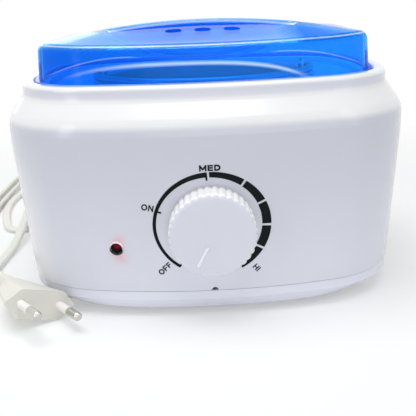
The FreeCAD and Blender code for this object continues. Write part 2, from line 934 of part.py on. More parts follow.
def bail_handle():
    """A wire hoop whose ends turn inwards through the ears; at rest it lies to the front."""
    inner = pot_inner - ear_thickness - bail_end
    bend_x = -math.sqrt((bail_arc - bail_bend) ** 2 - bail_bend ** 2)
    bend_turn = math.pi + math.asin(bail_bend / (bail_arc - bail_bend))
    centre = vector(bend_x, -bail_bend, 0)
    left = [
        vector(-inner, 0, 0), vector(bend_x, 0, 0),
        centre + heading((math.pi / 2 + bend_turn) / 2) * bail_bend, heading(bend_turn) * bail_arc,
    ]
    right = [vector(-spot.x, spot.y, 0) for spot in left]
    edges = [
        Part.LineSegment(left[0], left[1]).toShape(),
        Part.Arc(left[1], left[2], left[3]).toShape(),
        Part.Arc(left[3], vector(0, -bail_arc, 0), right[3]).toShape(),
        Part.Arc(right[3], right[2], right[1]).toShape(),
        Part.LineSegment(right[1], right[0]).toShape(),
    ]
    section = Part.Wire(Part.makeCircle(bail_wire, left[0], vector(1, 0, 0)))
    bail = Part.Wire(edges).makePipeShell([section], True, True)
    bail.translate(up * bail_height)
    return at_pot(bail)


def roof(drop, low):
    """The space under the lid's arched and sloping top, lowered by drop."""
    half = width / 2
    sections = []
    for y, rise, arch in roof_lines():
        top = ledge_top + rise - drop
        side = top - (arch - math.sqrt(arch ** 2 - half ** 2))
        crown = Part.Arc(vector(half, y, side), vector(0, y, top), vector(-half, y, side)).toShape()
        feet = [vector(-half, y, side), vector(-half, y, low), vector(half, y, low), vector(half, y, side)]
        sections.append(Part.Wire([crown] + Part.makePolygon(feet).Edges))
    return Part.makeLoft(sections, True, False)


def roof_lines():
    """The lid's top from front to rear: y, height over the ledge and radius of the arch."""
    reach = depth / 2 - lid_end_inset
    return [
        (-reach, lid_edge, lid_end_arch), (-reach / 2, lid_slope_mid, lid_mid_arch), (0, lid_ridge, lid_arch),
        (reach / 2, lid_slope_mid, lid_mid_arch), (reach, lid_edge, lid_end_arch),
    ]


def scoop(grow, side):
    """A finger scoop beside the ridge, turned about an axis that lies along Y above the lid."""
    deep = scoop_radius + grow
    axis_z = ledge_top + scoop_floor + scoop_radius
    lip = scoop_lip + grow
    ridge = scoop_ridge - grow
    high = scoop_radius - scoop_height
    fall = scoop_lean * (deep - high) / scoop_lean_height
    fillet = scoop_round + grow
    path = [(ridge, high), (ridge + fall / 2, deep, fillet), (lip - fall, deep, fillet), (lip, high)]
    section = wire_of(rounded(path), lambda spot: vector(0, side * spot.x, axis_z - spot.y))
    wedge = Part.Face(section).revolve(vector(0, 0, axis_z), vector(0, 1, 0), scoop_sweep)
    wedge.rotate(vector(0, 0, axis_z), vector(0, 1, 0), -scoop_sweep / 2)
    return wedge


def lid_form(inside):
    """The closed outer form of the lid, or with inside the space under it."""
    thick = lid_wall if inside else 0.0
    top = ledge_top + lid_ridge + lid_round
    lean = lid_draft * (top - ledge_top) / lid_edge
    body = block([(lid_foot + thick, ledge_top), (lid_foot + thick + lean, top)])
    body = body.common(roof(thick, ledge_top - 1))
    if not inside:
        rim = [edge for edge in body.Edges if edge.BoundBox.ZMin > ledge_top + lid_edge * 0.6]
        body = body.makeFillet(lid_round, rim)
    for side in (-1, 1):
        body = body.cut(scoop(thick, side))
    return body


def lid():
    shell = lid_form(False)
    mouths = [edge for edge in shell.Edges if mouth_edge(edge)]
    shell = shell.makeFillet(lip_round, mouths)
    shell = shell.cut(lid_form(True))
    foot_out = rebate_inset + lid_fit
    flange = ring([
        (foot_out, ledge_top, 0.3), (foot_out, ledge_top + lid_flange_height, 0.6),
        (lid_foot + lid_wall * 0.6, ledge_top + lid_flange_height), (lid_foot + lid_wall, ledge_top),
    ])
    shell = shell.fuse(flange)
    for x in (-vent_pitch, 0, vent_pitch):
        shell = shell.cut(drum(vent_radius, ledge_top + lid_wall, ledge_top + lid_ridge, x, -vent_y))
    return shell


def mouth_edge(edge):
    """True on the edges where the scoops break the roof."""
    box = edge.BoundBox
    mouth_x = math.sqrt(scoop_radius ** 2 - (scoop_radius + scoop_floor - lid_ridge) ** 2)
    if max(-box.YMin, box.YMax) > scoop_lip + lid_round or max(-box.XMin, box.XMax) > mouth_x + lid_round:
        return False
    if box.ZMin < ledge_top + scoop_floor + lid_wall:
        return False
    spot = edge.valueAt((edge.FirstParameter + edge.LastParameter) / 2)
    share = abs(spot.y) / (depth / 2 - lid_end_inset)
    arch = lid_arch if share < 0.2 else lid_mid_arch
    rise = ledge_top + lid_ridge + (lid_edge - lid_ridge) * share - spot.x ** 2 / (2 * arch)
    return abs(spot.z - rise) < 0.6


# ---- lead ----

def strain_relief():
    """A flanged grommet whose tapered tail is grooved so that it bends with the lead."""
    start = relief_seat + relief_flange_height
    flange = rod(relief_flange, relief_seat, start, lead_x, lead_z)
    outer_edge = [edge for edge in flange.Edges if edge.BoundBox.YMin > relief_seat + relief_flange_round]
    flange = flange.makeFillet(relief_flange_round, outer_edge)
    root = vector(lead_x, start, lead_z)
    tail = Part.makeCone(relief_root, relief_tip, relief_length, root, vector(0, 1, 0))
    body = flange.fuse(rod(relief_neck, relief_inside, relief_seat, lead_x, lead_z)).fuse(tail)
    wide = 2 * relief_flange
    for i in range(relief_rings):
        front = start + relief_ring_start + i * relief_ring_pitch
        rear = front + relief_ring_width
        groove = rod(relief_flange, front, rear, lead_x, lead_z)
        groove = groove.cut(rod(relief_tip, front, rear, lead_x, lead_z))
        for size_x, size_z in ((relief_bridge, wide), (wide, relief_bridge)):
            groove = groove.cut(brick(lead_x, front, lead_z - size_z / 2, size_x, wide, lead_z + size_z / 2))
        body = body.cut(groove)
    return body.cut(rod(lead_radius, relief_inside, relief_seat + relief_bore, lead_x, lead_z))


def cord_tail():
    return rod(lead_radius, tail_end, relief_seat + relief_bore, lead_x, lead_z)


def cord_clamp():
    low = lead_z - lead_radius + clamp_grip
    high = lead_z + lead_radius + clamp_cap
    bar = brick(lead_x, clamp_y, low, clamp_width, clamp_length, high)
    bar = bar.makeFillet(clamp_round, upright(bar))
    bar = bar.cut(rod(lead_radius, clamp_y - clamp_length, clamp_y + clamp_length, lead_x, lead_z))
    bar = bar.cut(brick(lead_x, clamp_y, low - 1, 2 * lead_radius, clamp_length + 2, lead_z))
    for side in (-0.5, 0.5):
        x = lead_x + side * clamp_screw_gap
        bar = bar.cut(drum(pilot_radius + hole_gap, low - 1, high + 1, x, clamp_y))
    return bar


def clamp_screws():
    seat = lead_z + lead_radius + clamp_cap
    spots = [(lead_x + side * clamp_screw_gap, clamp_y) for side in (-0.5, 0.5)]
    pair = screws(spots, -seat, clamp_screw_head, clamp_screw_head_height, pilot_radius, clamp_screw_length)
    return pair.rotate(vector(lead_x, clamp_y, 0), vector(0, 1, 0), 180)


def terminal_block():
    top = floor_top + block_height
    body = brick(block_x, block_y, floor_top, block_width, block_length, top)
    body = body.makeFillet(block_round, upright(body))
    for x in terminal_xs():
        body = body.cut(drum(terminal_hole, top - terminal_depth, top + 1, x, block_y))
        body = body.fuse(drum(terminal_screw, top - terminal_depth, top - terminal_sink, x, block_y))
    return body


def terminal_xs():
    return [block_x + step * terminal_pitch for step in (-2, -1, 0, 1, 2)]


def wires():
    """Inside wiring: node name and the runs of each wire in it."""
    xs = terminal_xs()
    rear = block_y + block_length / 2
    front = block_y - block_length / 2
    high = floor_top + wire_high
    low = floor_top + wire_low
    routes = {"mains_wires": [], "lamp_wires": []}
    for side, x in ((-0.5, xs[0]), (0.5, xs[1])):
        start_x = lead_x + side * core_gap
        routes["mains_wires"].append([
            (start_x, tail_end, lead_z), (start_x, tail_end - wire_end, lead_z), (x, rear + wire_end, high),
            (x, rear, high),
        ])

    stat_x = spade_gap / 2
    stat_y = knob_frame.Base.y + pad_depth + stat_depth / 2
    stat_z = knob_z - stat_size / 2 - stat_wire_drop
    turn_y = front - stat_wire_turn
    routes["thermostat_wire"] = [[
        (xs[0], front, high), (xs[0], turn_y, high), (-stat_wire_side, stat_y + stat_wire_slack, high),
        (-stat_x, stat_y, high + stat_wire_rise), (-stat_x, stat_y, stat_z),
    ]]
    fuse_front = pot_y - fuse_length / 2
    routes["fuse_wire"] = [[
        (stat_x, stat_y, stat_z), (stat_x, stat_y, high + fuse_wire_rise),
        (stat_x, stat_y + fuse_wire_run, high - fuse_wire_drop),
        (fuse_x, fuse_front - fuse_wire_reach, fuse_z - fuse_wire_end),
        (fuse_x, fuse_front - fuse_wire_end, fuse_z), (fuse_x, fuse_front, fuse_z),
    ]]

    tab = math.radians(tab_angle)
    tab_radius = (band_inner + band_outer) / 2
    tab_x = tab_radius * math.sin(tab)
    tab_y = pot_y + tab_radius * math.cos(tab)
    tab_z = band_low - tab_length
    fuse_rear = pot_y + fuse_length / 2
    routes["band_wire"] = [[
        (fuse_x, fuse_rear, fuse_z), (fuse_x, fuse_rear + band_wire_end, fuse_z),
        (tab_x, tab_y - band_wire_run, tab_z - band_wire_drop),
        (tab_x, tab_y, tab_z - band_wire_drop + band_wire_rise), (tab_x, tab_y, tab_z),
    ]]
    routes["return_wire"] = [[
        (-tab_x, tab_y, tab_z), (-tab_x, tab_y, tab_z - band_wire_drop),
        (-return_wire_side, tab_y - return_wire_run, floor_top + return_wire_low),
        (xs[3], rear + return_wire_end, high), (xs[3], rear, high),
    ]]

    board = lamp_frame.multVec(vector(0, -board_height / 2, -board_depth - board_thickness / 2))
    for side, x in ((-0.5, xs[2]), (0.5, xs[4])):
        start_x = board.x + side * lamp_wire_gap
        routes["lamp_wires"].append([
            (start_x, board.y, board.z), (start_x, board.y, low + lamp_wire_rise),
            (start_x + lamp_wire_side, board.y + lamp_wire_run, low), (x, front - lamp_wire_end, low),
            (x, front, low),
        ])
    return routes


# ---- plug ----

plug_turn = FreeCAD.Rotation(up, plug_yaw)
plug_level = plug_turn.multVec(vector(1, 0, 0))
plug_out = FreeCAD.Rotation(plug_level, -plug_pitch).multVec(plug_turn.multVec(vector(0, -1, 0)))
plug_side = FreeCAD.Rotation(plug_out, plug_roll).multVec(plug_level)
plug_frame = frame_at(vector(plug_x, plug_y, plug_z), plug_side, plug_out.cross(plug_side), plug_out)


def hexagon_wire(wide, flat, high, z):
    right = [(flat / 2, -high / 2, plug_round), (wide / 2, 0, plug_edge_round), (flat / 2, high / 2, plug_round)]
    corners = right + [(-x, -y, fillet) for x, y, fillet in right]
    return wire_of(rounded(corners), lambda spot: vector(spot.x, spot.y, z))


def plug_body():
    front = hexagon_wire(plug_width, plug_flat, plug_height, 0)
    waist = hexagon_wire(plug_mid_width, plug_mid_flat, plug_mid_height, -plug_mid)
    back = hexagon_wire(plug_back_width, plug_back_flat, plug_back_height, -plug_back)
    body = Part.makeLoft([front, waist], True, True).fuse(Part.makeLoft([waist, back], True, True))
    cone = Part.makeCone(plug_cone_tip, plug_cone_root, plug_cone, vector(0, 0, -plug_back - plug_cone))
    body = body.fuse(cone)
    for side in (-1, 1):
        body = body.cut(drum(pin_core, -pin_root, 1, side * pin_spacing / 2, 0))
    return put(body, plug_frame)


def plug_sleeves():
    outer = pin_radius - shell_step
    sleeves = [pipe(pin_core, outer, 0, shell_length, side * pin_spacing, 0) for side in (-0.5, 0.5)]
    return put(Part.makeCompound(sleeves), plug_frame)


def plug_pins():
    pins = []
    for side in (-0.5, 0.5):
        x = side * pin_spacing
        tip = drum(pin_radius, shell_length, pin_length, x, 0)
        end_edges = [edge for edge in tip.Edges if edge.BoundBox.ZMin > pin_length - pin_round]
        pins.append(tip.makeFillet(pin_round, end_edges).fuse(drum(pin_core, -pin_root, shell_length, x, 0)))
    return put(Part.makeCompound(pins), plug_frame)


# ---- route of the lead, in the finished frame ----

lead_route = [
    (-45, 107.5, 20), (-45, 123, 20), (-38, 140, 10), (-19, 150, 2.6), (6, 146, 2.6), (30, 140, 2.6),
]
plug_route = [
    (30, 195, 7.9), (5, 197, 7), (-22, 199, 2.6), (-49, 205, 2.6), (-74, 203, 2.6), (-98, 207, 2.6),
    (-121, 210, 2.6), (-140, 205, 2.6), (-148, 188, 2.6), (-148, 163, 2.6), (-148.4, 138, 2.6),
    (-149, 118, 2.6), (-161, 104, 2.6), (-176, 89, 2.6), (-178.8, 73, 2.6), (-168.5, 60.5, 2.6),
    (-153, 60, 2.6), (-142.3, 71, 2.6), (-141.6, 92, 2.6), (-142.3, 118, 2.6), (-142, 144, 2.6),
    (-141.4, 170, 2.6), (-141.3, 188, 2.6), (-130.6, 199, 2.6), (-115.2, 198.3, 2.6), (-104.8, 187, 2.6),
    (-105.6, 171.6, 2.6), (-120.3, 160.3, 2.6), (-135.5, 148, 2.6), (-137.5, 128, 2.6), (-136.2, 108, 2.6),
    (-132.5, 91, 2.6), (-128.8, 77, 2.6), (-125.4, 67, 2.6), (-120.4, 62, 2.6), (-113.4, 62, 2.6),
    (-108.8, 67, 2.6), (-107.5, 76, 2.6), (-105, 89.5, 2.6), (-94, 104, 2.6), (-87.6, 120, 2.6),
    (-87.6, 138.2, 2.6), (-97.8, 148.4, 2.6), (-112.2, 148.4, 2.6), (-122.4, 138.2, 2.6), (-122.4, 121, 2.6),
    (-121, 103, 2.6), (-114.4, 79, 10.8), (-111.4, 52, 10.8), (-112.4, 31, 3.8), (-114.2, 13, 2.6),
    (-115, -3, 2.6), (-113.93, -17.68, 6.37), (-106.41, -28.26, 7.05),
]


def report(name, route):
    solid, length, bends = tube(route, lead_radius)
    full = math.pi * lead_radius ** 2 * length
    print(f"{name}: {length:.1f} mm long, volume {solid.Volume / full:.4f} of section times length")
    print("  radii " + " ".join(f"{bend:.0f}" for bend in bends))
    return solid


def cord_coil():
    corners = [(coil_inner, 0), (coil_outer, 0), (coil_outer, coil_height), (coil_inner, coil_height)]
    shape = turned([(radius, z, coil_round) for radius, z in corners])
    return put(shape, FreeCAD.Placement(vector(coil_x, coil_y, 0), FreeCAD.Rotation()))


def cord_tube():
    return Part.makeCompound([report("lead to coil", lead_route), report("lead to plug", plug_route)])


# ---- everything ----

casing = upper_housing()
knob = dial_knob()
body_y = -(knob.optimalBoundingBox().YMin + casing.optimalBoundingBox().YMax) / 2
print(f"casing stands {body_y:.3f} behind the origin")
save("upper_housing", casing)
save("dial_knob", knob)
for end_name, end in (("front", -1), ("rear", 1)):
    for side_name, side in (("left", -1), ("right", 1)):
        save(f"foot_{end_name}_{side_name}", foot(side * foot_x, end * foot_y))
makers = [
    inner_deck, base_cover, base_screws, deck_screws, well_screws, heating_well, heater_band, clamp_strap,
    strap_screw, insulation_sleeve, thermal_fuse, fuse_clip, thermostat_body, thermostat_shaft,
    thermostat_nut, indicator_lens, lamp_bezel, lamp_board, wax_pot, pot_ears, ear_rivets, bail_handle,
    lid, strain_relief, cord_tail, cord_clamp, clamp_screws, terminal_block,
]
for maker in makers:
    save(maker.__name__, maker())
for node, routes in wires().items():
    save(node, Part.makeCompound([tube(route, wire_radius)[0] for route in routes]))
for maker in (plug_body, plug_sleeves, plug_pins, cord_coil, cord_tube):
    save(maker.__name__, maker(), False)
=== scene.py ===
import bmesh
import bpy
import math
from mathutils import Matrix, Vector


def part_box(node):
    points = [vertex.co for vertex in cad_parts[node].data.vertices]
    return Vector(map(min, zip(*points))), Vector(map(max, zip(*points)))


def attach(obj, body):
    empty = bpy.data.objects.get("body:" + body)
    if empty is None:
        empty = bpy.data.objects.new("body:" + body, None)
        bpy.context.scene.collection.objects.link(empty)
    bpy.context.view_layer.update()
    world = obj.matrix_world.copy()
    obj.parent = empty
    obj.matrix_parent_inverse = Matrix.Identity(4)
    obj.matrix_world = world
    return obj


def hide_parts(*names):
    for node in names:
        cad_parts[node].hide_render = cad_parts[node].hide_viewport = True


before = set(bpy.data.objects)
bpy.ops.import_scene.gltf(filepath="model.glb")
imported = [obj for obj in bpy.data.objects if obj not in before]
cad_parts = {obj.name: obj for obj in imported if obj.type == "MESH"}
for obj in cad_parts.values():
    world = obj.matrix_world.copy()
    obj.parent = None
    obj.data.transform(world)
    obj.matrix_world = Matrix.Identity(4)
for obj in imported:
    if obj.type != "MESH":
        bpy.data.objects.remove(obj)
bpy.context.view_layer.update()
mm = 0.001
print("frame loaded")

# the camera: its place in mm, its turns in radians and its focal length in pixels
camera = {
    "place": (-5.85, -355.18, 138.77),
    "yaw": 0.0154,
    "down": 0.2982,
    "roll": -0.0405,
    "focalPixels": 701.6,
    "imagePixels": 416,
    "sensor": 36.0,
    "nearest": 10,
    "farthest": 20000,
}


def makeCamera(sizes):
    data = bpy.data.cameras.new("camera")
    data.sensor_width = sizes["sensor"]
    data.lens = sizes["focalPixels"] * sizes["sensor"] / sizes["imagePixels"]
    data.clip_start = sizes["nearest"] * mm
    data.clip_end = sizes["farthest"] * mm
    yaw, down, roll = sizes["yaw"], sizes["down"], sizes["roll"]
    ahead = Vector((math.sin(yaw) * math.cos(down), math.cos(yaw) * math.cos(down), -math.sin(down)))
    level = Vector((math.cos(yaw), -math.sin(yaw), 0))
    rise = level.cross(ahead)
    side = level * math.cos(roll) + rise * math.sin(roll)
    top = rise * math.cos(roll) - level * math.sin(roll)
    turn = Matrix((side, top, -ahead)).transposed().to_4x4()
    obj = bpy.data.objects.new("camera", data)
    obj.matrix_world = Matrix.Translation(Vector(sizes["place"]) * mm) @ turn
    bpy.context.collection.objects.link(obj)
    bpy.context.scene.camera = obj


makeCamera(camera)
print("camera set")


def addObject(name, data, body):
    obj = bpy.data.objects.new(name, data)
    bpy.context.collection.objects.link(obj)
    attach(obj, body)
    return obj


def makeMesh(name, points, faces, smooth=True):
    mesh = bpy.data.meshes.new(name)
    mesh.from_pydata([tuple(point) for point in points], [], faces)
    mesh.validate()
    work = bmesh.new()
    work.from_mesh(mesh)
    bmesh.ops.recalc_face_normals(work, faces=work.faces)
    work.to_mesh(mesh)
    work.free()
    mesh.polygons.foreach_set("use_smooth", [smooth] * len(mesh.polygons))
    return mesh


def joinRings(rings, count):
    # quads between rings of the same count, with a face at each end
    faces = []
    for ring in range(rings - 1):
        for step in range(count):
            after = (step + 1) % count
            a = ring * count
            faces.append((a + step, a + after, a + count + after, a + count + step))
    faces.append(tuple(reversed(range(count))))
    faces.append(tuple(range((rings - 1) * count, rings * count)))
    return faces


# the flat twin mains lead: its length in m, all else in mm
lead = {
    "width": 5.2,
    "thick": 3.4,
    "groove": 0.32,
    "grooveWidth": 0.7,
    "spread": 2.2,  # how soon its outline passes from one core to the other
    "length": 1.48,
    "sides": 32,
    "samples": 9,
    # its route: x, y, height, and how far it is tipped on edge, from 0 to 1
    "fromRelief": [  # then comes the coil
        (-45, 107.5, 20, 0), (-45, 123, 20, 0), (-38, 140, 9.4, 0), (-19, 150, 1.9, 0), (6, 146, 1.8, 0),
    ],
    "toPlug": [
        (5, 197, 5.4, 0), (-22, 199, 1.8, 0), (-49, 205, 1.8, 0), (-74, 203, 1.8, 0), (-98, 207, 1.8, 0),
        (-121, 210, 1.8, 0), (-140, 205, 2.45, 0.5), (-148, 188, 2.65, 1), (-148, 163, 2.65, 1),
        (-148.4, 138, 2.65, 1), (-149, 118, 2.65, 1), (-161, 104, 2.65, 1), (-176, 89, 2.45, 0.5),
        (-178.8, 73, 1.8, 0), (-168.5, 60.5, 1.8, 0), (-153, 60, 2.45, 0.5), (-142.3, 71, 2.65, 1),
        (-141.6, 92, 2.65, 1), (-142.3, 118, 2.65, 1), (-142, 144, 2.65, 1), (-141.4, 170, 2.65, 1),
        (-141.3, 188, 2.45, 0.5), (-130.6, 199, 1.8, 0), (-115.2, 198.3, 1.8, 0), (-104.8, 187, 1.8, 0),
        (-105.6, 171.6, 1.8, 0), (-120.3, 160.3, 1.8, 0), (-135.5, 148, 1.8, 0), (-137.5, 128, 1.8, 0),
        (-136.2, 108, 1.8, 0), (-132.5, 91, 1.8, 0), (-128.8, 77, 1.8, 0), (-125.4, 67, 1.8, 0),
        (-120.4, 62, 1.8, 0), (-113.4, 62, 1.8, 0), (-108.8, 67, 1.8, 0), (-107.5, 76, 1.8, 0),
        (-105, 89.5, 1.8, 0), (-94, 104, 1.8, 0), (-87.6, 120, 1.8, 0), (-87.6, 138.2, 1.8, 0),
        (-97.8, 148.4, 1.8, 0), (-112.2, 148.4, 1.8, 0), (-122.4, 138.2, 1.8, 0), (-122.4, 121, 1.8, 0),
        (-121, 103, 1.9, 0), (-114.4, 79, 9.6, 0), (-111.4, 52, 9.8, 0), (-112.4, 31, 3, 0),
        (-114.2, 13, 1.9, 0), (-115, -3, 2, 0), (-113.93, -17.68, 6.2, 0), (-106.41, -28.26, 7.05, 0),
    ],
}

# the spare length lies behind the heater in a flat coil: angles in degrees, the rest in mm
coil = {
    "middle": (30, 167.5),
    "begin": -100,
    "end": 810,
    "outer": 32.7,
    "inner": 22.3,
    "last": 27.5,
    "flatTurns": 2,
    "perTurn": 14,
    "low": 1.8,
    "high": 5.4,
    "climb": 0.12,  # the part of a turn in which it climbs on top of itself
}


def coilPoints(sizes):
    points = []
    flatTurns = sizes["flatTurns"]
    whole = (sizes["end"] - sizes["begin"]) / 360
    count = round(whole * sizes["perTurn"])
    for step in range(count + 1):
        turn = whole * step / count
        angle = math.radians(sizes["begin"]) + turn * math.tau
        if turn <= flatTurns:
            radius = sizes["outer"] + (sizes["inner"] - sizes["outer"]) * turn / flatTurns
        else:
            share = (turn - flatTurns) / (whole - flatTurns)
            radius = sizes["inner"] + (sizes["last"] - sizes["inner"]) * share
        rise = min(1, max(0, (turn - flatTurns) / sizes["climb"]))
        height = sizes["low"] + (sizes["high"] - sizes["low"]) * rise
        x = sizes["middle"][0] + radius * math.cos(angle)
        y = sizes["middle"][1] + radius * math.sin(angle)
        points.append((x, y, height, 0))
    return points


def leadSection(sizes):
    # the outline of two cores side by side, with a shallow groove between them
    half = sizes["thick"] / 2
    offset = sizes["width"] / 2 - half
    points = []
    for step in range(sizes["sides"]):
        angle = math.tau * step / sizes["sides"]
        across = offset * max(-1, min(1, sizes["spread"] * math.cos(angle))) + half * math.cos(angle)
        groove = sizes["groove"] * math.exp(-((across / sizes["grooveWidth"]) ** 2))
        points.append((across * mm, (half - groove) * math.sin(angle) * mm))
    return points


def leadLine(points, samples):
    # the lead's middle, as a smooth curve drawn by its points
    curve = bpy.data.curves.new("leadLine", "CURVE")
    curve.dimensions = "3D"
    spline = curve.splines.new("NURBS")
    spline.points.add(len(points) - 1)
    for target, point in zip(spline.points, points):
        target.co = (point[0] * mm, point[1] * mm, point[2] * mm, 1)
    spline.order_u = 3
    spline.use_endpoint_u = True
    spline.resolution_u = samples
    holder = bpy.data.objects.new("leadLine", curve)
    line = [vertex.co.copy() for vertex in bpy.data.meshes.new_from_object(holder).vertices]
    bpy.data.objects.remove(holder)
    return line


def leadTip(points, share):
    # how far the lead is tipped on edge, at a share of the way along its points
    knot = share * (len(points) - 1)
    low = min(int(knot), len(points) - 2)
    return points[low][3] + (points[low + 1][3] - points[low][3]) * (knot - low)


def makeLead(sizes):
    points = sizes["fromRelief"] + coilPoints(coil) + sizes["toPlug"]
    line = leadLine(points, sizes["samples"])
    section = leadSection(sizes)
    last = len(line) - 1
    verts = []
    for index, place in enumerate(line):
        along = (line[min(index + 1, last)] - line[max(index - 1, 0)]).normalized()
        side = along.cross(Vector((0, 0, 1))).normalized()
        up = side.cross(along)
        turn = math.radians(90) * leadTip(points, index / last)
        across = side * math.cos(turn) + up * math.sin(turn)
        over = up * math.cos(turn) - side * math.sin(turn)
        verts += [place + across * x + over * y for x, y in section]
    mesh = makeMesh("mains_lead", verts, joinRings(len(line), sizes["sides"]))
    obj = addObject("mains_lead", mesh, "housing")
    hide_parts("cord_tube", "cord_coil")
    print("lead laid:", round(sum((b - a).length for a, b in zip(line, line[1:])), 3), "m")
    return obj


leadPiece = makeLead(lead)

# the casing's front slopes and bows, and carries the knob and the printed dial; sizes in mm
front = {
    "nearest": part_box("upper_housing")[0][1] / mm,
    "arc": 235,
    "seam": 13.2,
    "widest": 76,
    "inset": 4.6,  # how much further back it is at the seam than at its widest height
}


def onFront(x, z, proud=0):
    back = front["inset"] * (front["widest"] - z) / (front["widest"] - front["seam"])
    bow = math.sqrt((front["arc"] - back) ** 2 - x * x)
    return Vector((x, front["nearest"] + front["arc"] - bow - proud, z)) * mm


# the fluted knob with its shallow dished face, in mm; top and foot are measured out from the front
knob = {
    "middle": 43.6,  # how high up the front its axis stands
    "foot": 0.8,
    "top": 11.5,
    "sideSteps": 4,
    "peak": 18.6,
    "valley": 17.95,
    "lobes": 36,
    "perLobe": 8,
    "edge": 1.5,
    "edgeSteps": 6,
    "dish": 0.9,
    "dishReach": 14,
    "faceSteps": 12,
}

# the raised bar on its face, in mm and degrees
pointer = {
    "near": 5.0,
    "far": 15.0,
    "width": 1.1,
    "angle": 243,
    "roundSteps": 8,
    # its side and its rounded edge: how far in from the outline, and how far out from the front
    "rings": [(0, 10.0), (0, 11.45), (0.12, 11.67), (0.3, 11.75)],
}


def onKnob(across, up, out):
    lean = math.atan2(front["inset"], front["widest"] - front["seam"])
    rise = up * math.cos(lean) - out * math.sin(lean)
    forward = up * math.sin(lean) + out * math.cos(lean)
    return onFront(0, knob["middle"]) + Vector((across, -forward, rise)) * mm


def makeKnob(sizes):
    # each ring: how far in from the outline, how far out from the front, and its share of the fluting
    edge, top, steps = sizes["edge"], sizes["top"], sizes["sideSteps"]
    side = top - edge - sizes["foot"]
    rings = [(0, sizes["foot"] + side * step / steps, 1) for step in range(steps)]
    for step in range(sizes["edgeSteps"] + 1):
        turn = math.pi / 2 * step / sizes["edgeSteps"]
        rings.append((edge * (1 - math.cos(turn)), top - edge * (1 - math.sin(turn)), math.cos(turn)))
    flat = sizes["valley"] - edge
    for step in range(1, sizes["faceSteps"]):
        gone = flat * step / sizes["faceSteps"]
        share = min(1, gone / sizes["dishReach"])
        rings.append((edge + gone, top - sizes["dish"] * share * share * (3 - 2 * share), 0))
    verts = []
    around = sizes["lobes"] * sizes["perLobe"]
    for inward, out, fluted in rings:
        for step in range(around):
            place = (step % sizes["perLobe"]) / sizes["perLobe"]
            lobe = (sizes["peak"] - sizes["valley"]) * 4 * place * (1 - place)
            radius = sizes["valley"] + lobe * fluted - inward
            turn = math.tau * step / around
            verts.append(onKnob(radius * math.cos(turn), radius * math.sin(turn), out))
    mesh = makeMesh("fluted_knob", verts, joinRings(len(rings), around))
    obj = addObject("fluted_knob", mesh, "knob")
    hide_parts("dial_knob")
    return obj


def makePointer(sizes):
    half = sizes["width"] / 2
    angle = math.radians(sizes["angle"])
    steps = sizes["roundSteps"]
    outline = []
    for end, begin in ((sizes["far"] - half, -90), (sizes["near"] + half, 90)):
        outline += [(end, math.radians(begin + 180 * step / steps)) for step in range(steps + 1)]
    verts = []
    for inward, out in sizes["rings"]:
        for end, turn in outline:
            u = end + (half - inward) * math.cos(turn)
            v = (half - inward) * math.sin(turn)
            across = u * math.cos(angle) - v * math.sin(angle)
            verts.append(onKnob(across, u * math.sin(angle) + v * math.cos(angle), out))
    mesh = makeMesh("knob_pointer", verts, joinRings(len(sizes["rings"]), len(outline)))
    return addObject("knob_pointer", mesh, "knob")


knobPiece = makeKnob(knob)
pointerPiece = makePointer(pointer)
print("knob made")


class Sock:  # one socket, so that an expression on it adds its Math nodes
    def __init__(self, nodes, socket):
        self.nodes = nodes
        self.socket = socket

    def math(self, operation, *values):
        return self.nodes.node("Math", {"operation": operation}, dict(enumerate(values)))

    def __add__(self, other):
        return self.math("ADD", self, other)

    def __radd__(self, other):
        return self.math("ADD", other, self)

    def __sub__(self, other):
        return self.math("SUBTRACT", self, other)

    def __rsub__(self, other):
        return self.math("SUBTRACT", other, self)

    def __mul__(self, other):
        return self.math("MULTIPLY", self, other)

    def __rmul__(self, other):
        return self.math("MULTIPLY", other, self)

    def __truediv__(self, other):
        return self.math("DIVIDE", self, other)

    def __rtruediv__(self, other):
        return self.math("DIVIDE", other, self)

    def __abs__(self):
        return self.math("ABSOLUTE", self)

    def sine(self):
        return self.math("SINE", self)

    def axis(self, letter):
        return self.nodes.node("SeparateXYZ", {}, {0: self}, output=letter)

    def clamped(self):
        return self.math("MINIMUM", self.math("MAXIMUM", self, 0), 1)

    def over(self, start, end):
        # 0 at start and 1 at end, even between them and held beyond; end may be the lower one
        return ((self - start) / (end - start)).clamped()


class Nodes:  # the nodes of one material, or of the world
    def __init__(self, owner):
        owner.use_nodes = True
        self.tree = owner.node_tree
        self.tree.nodes.clear()

    def node(self, kind, settings={}, inputs={}, output=0):
        made = self.tree.nodes.new("ShaderNode" + kind)
        for name, value in settings.items():
            setattr(made, name, value)
        for name, value in inputs.items():
            if isinstance(value, Sock):
                self.tree.links.new(value.socket, made.inputs[name])
            elif made.inputs[name].type == "RGBA":
                made.inputs[name].default_value = (*value, 1)
            else:
                made.inputs[name].default_value = value
        return Sock(self, made.outputs[output]) if made.outputs else None

    def seen(self):
        # 1 for what is looked at, mirrored or looked at through the lid, and 0 for light on the object
        camera, gloss, lid = (
            self.node("LightPath", output=f"Is {kind} Ray") for kind in ("Camera", "Glossy", "Transmission")
        )
        return (camera + gloss + lid).clamped()


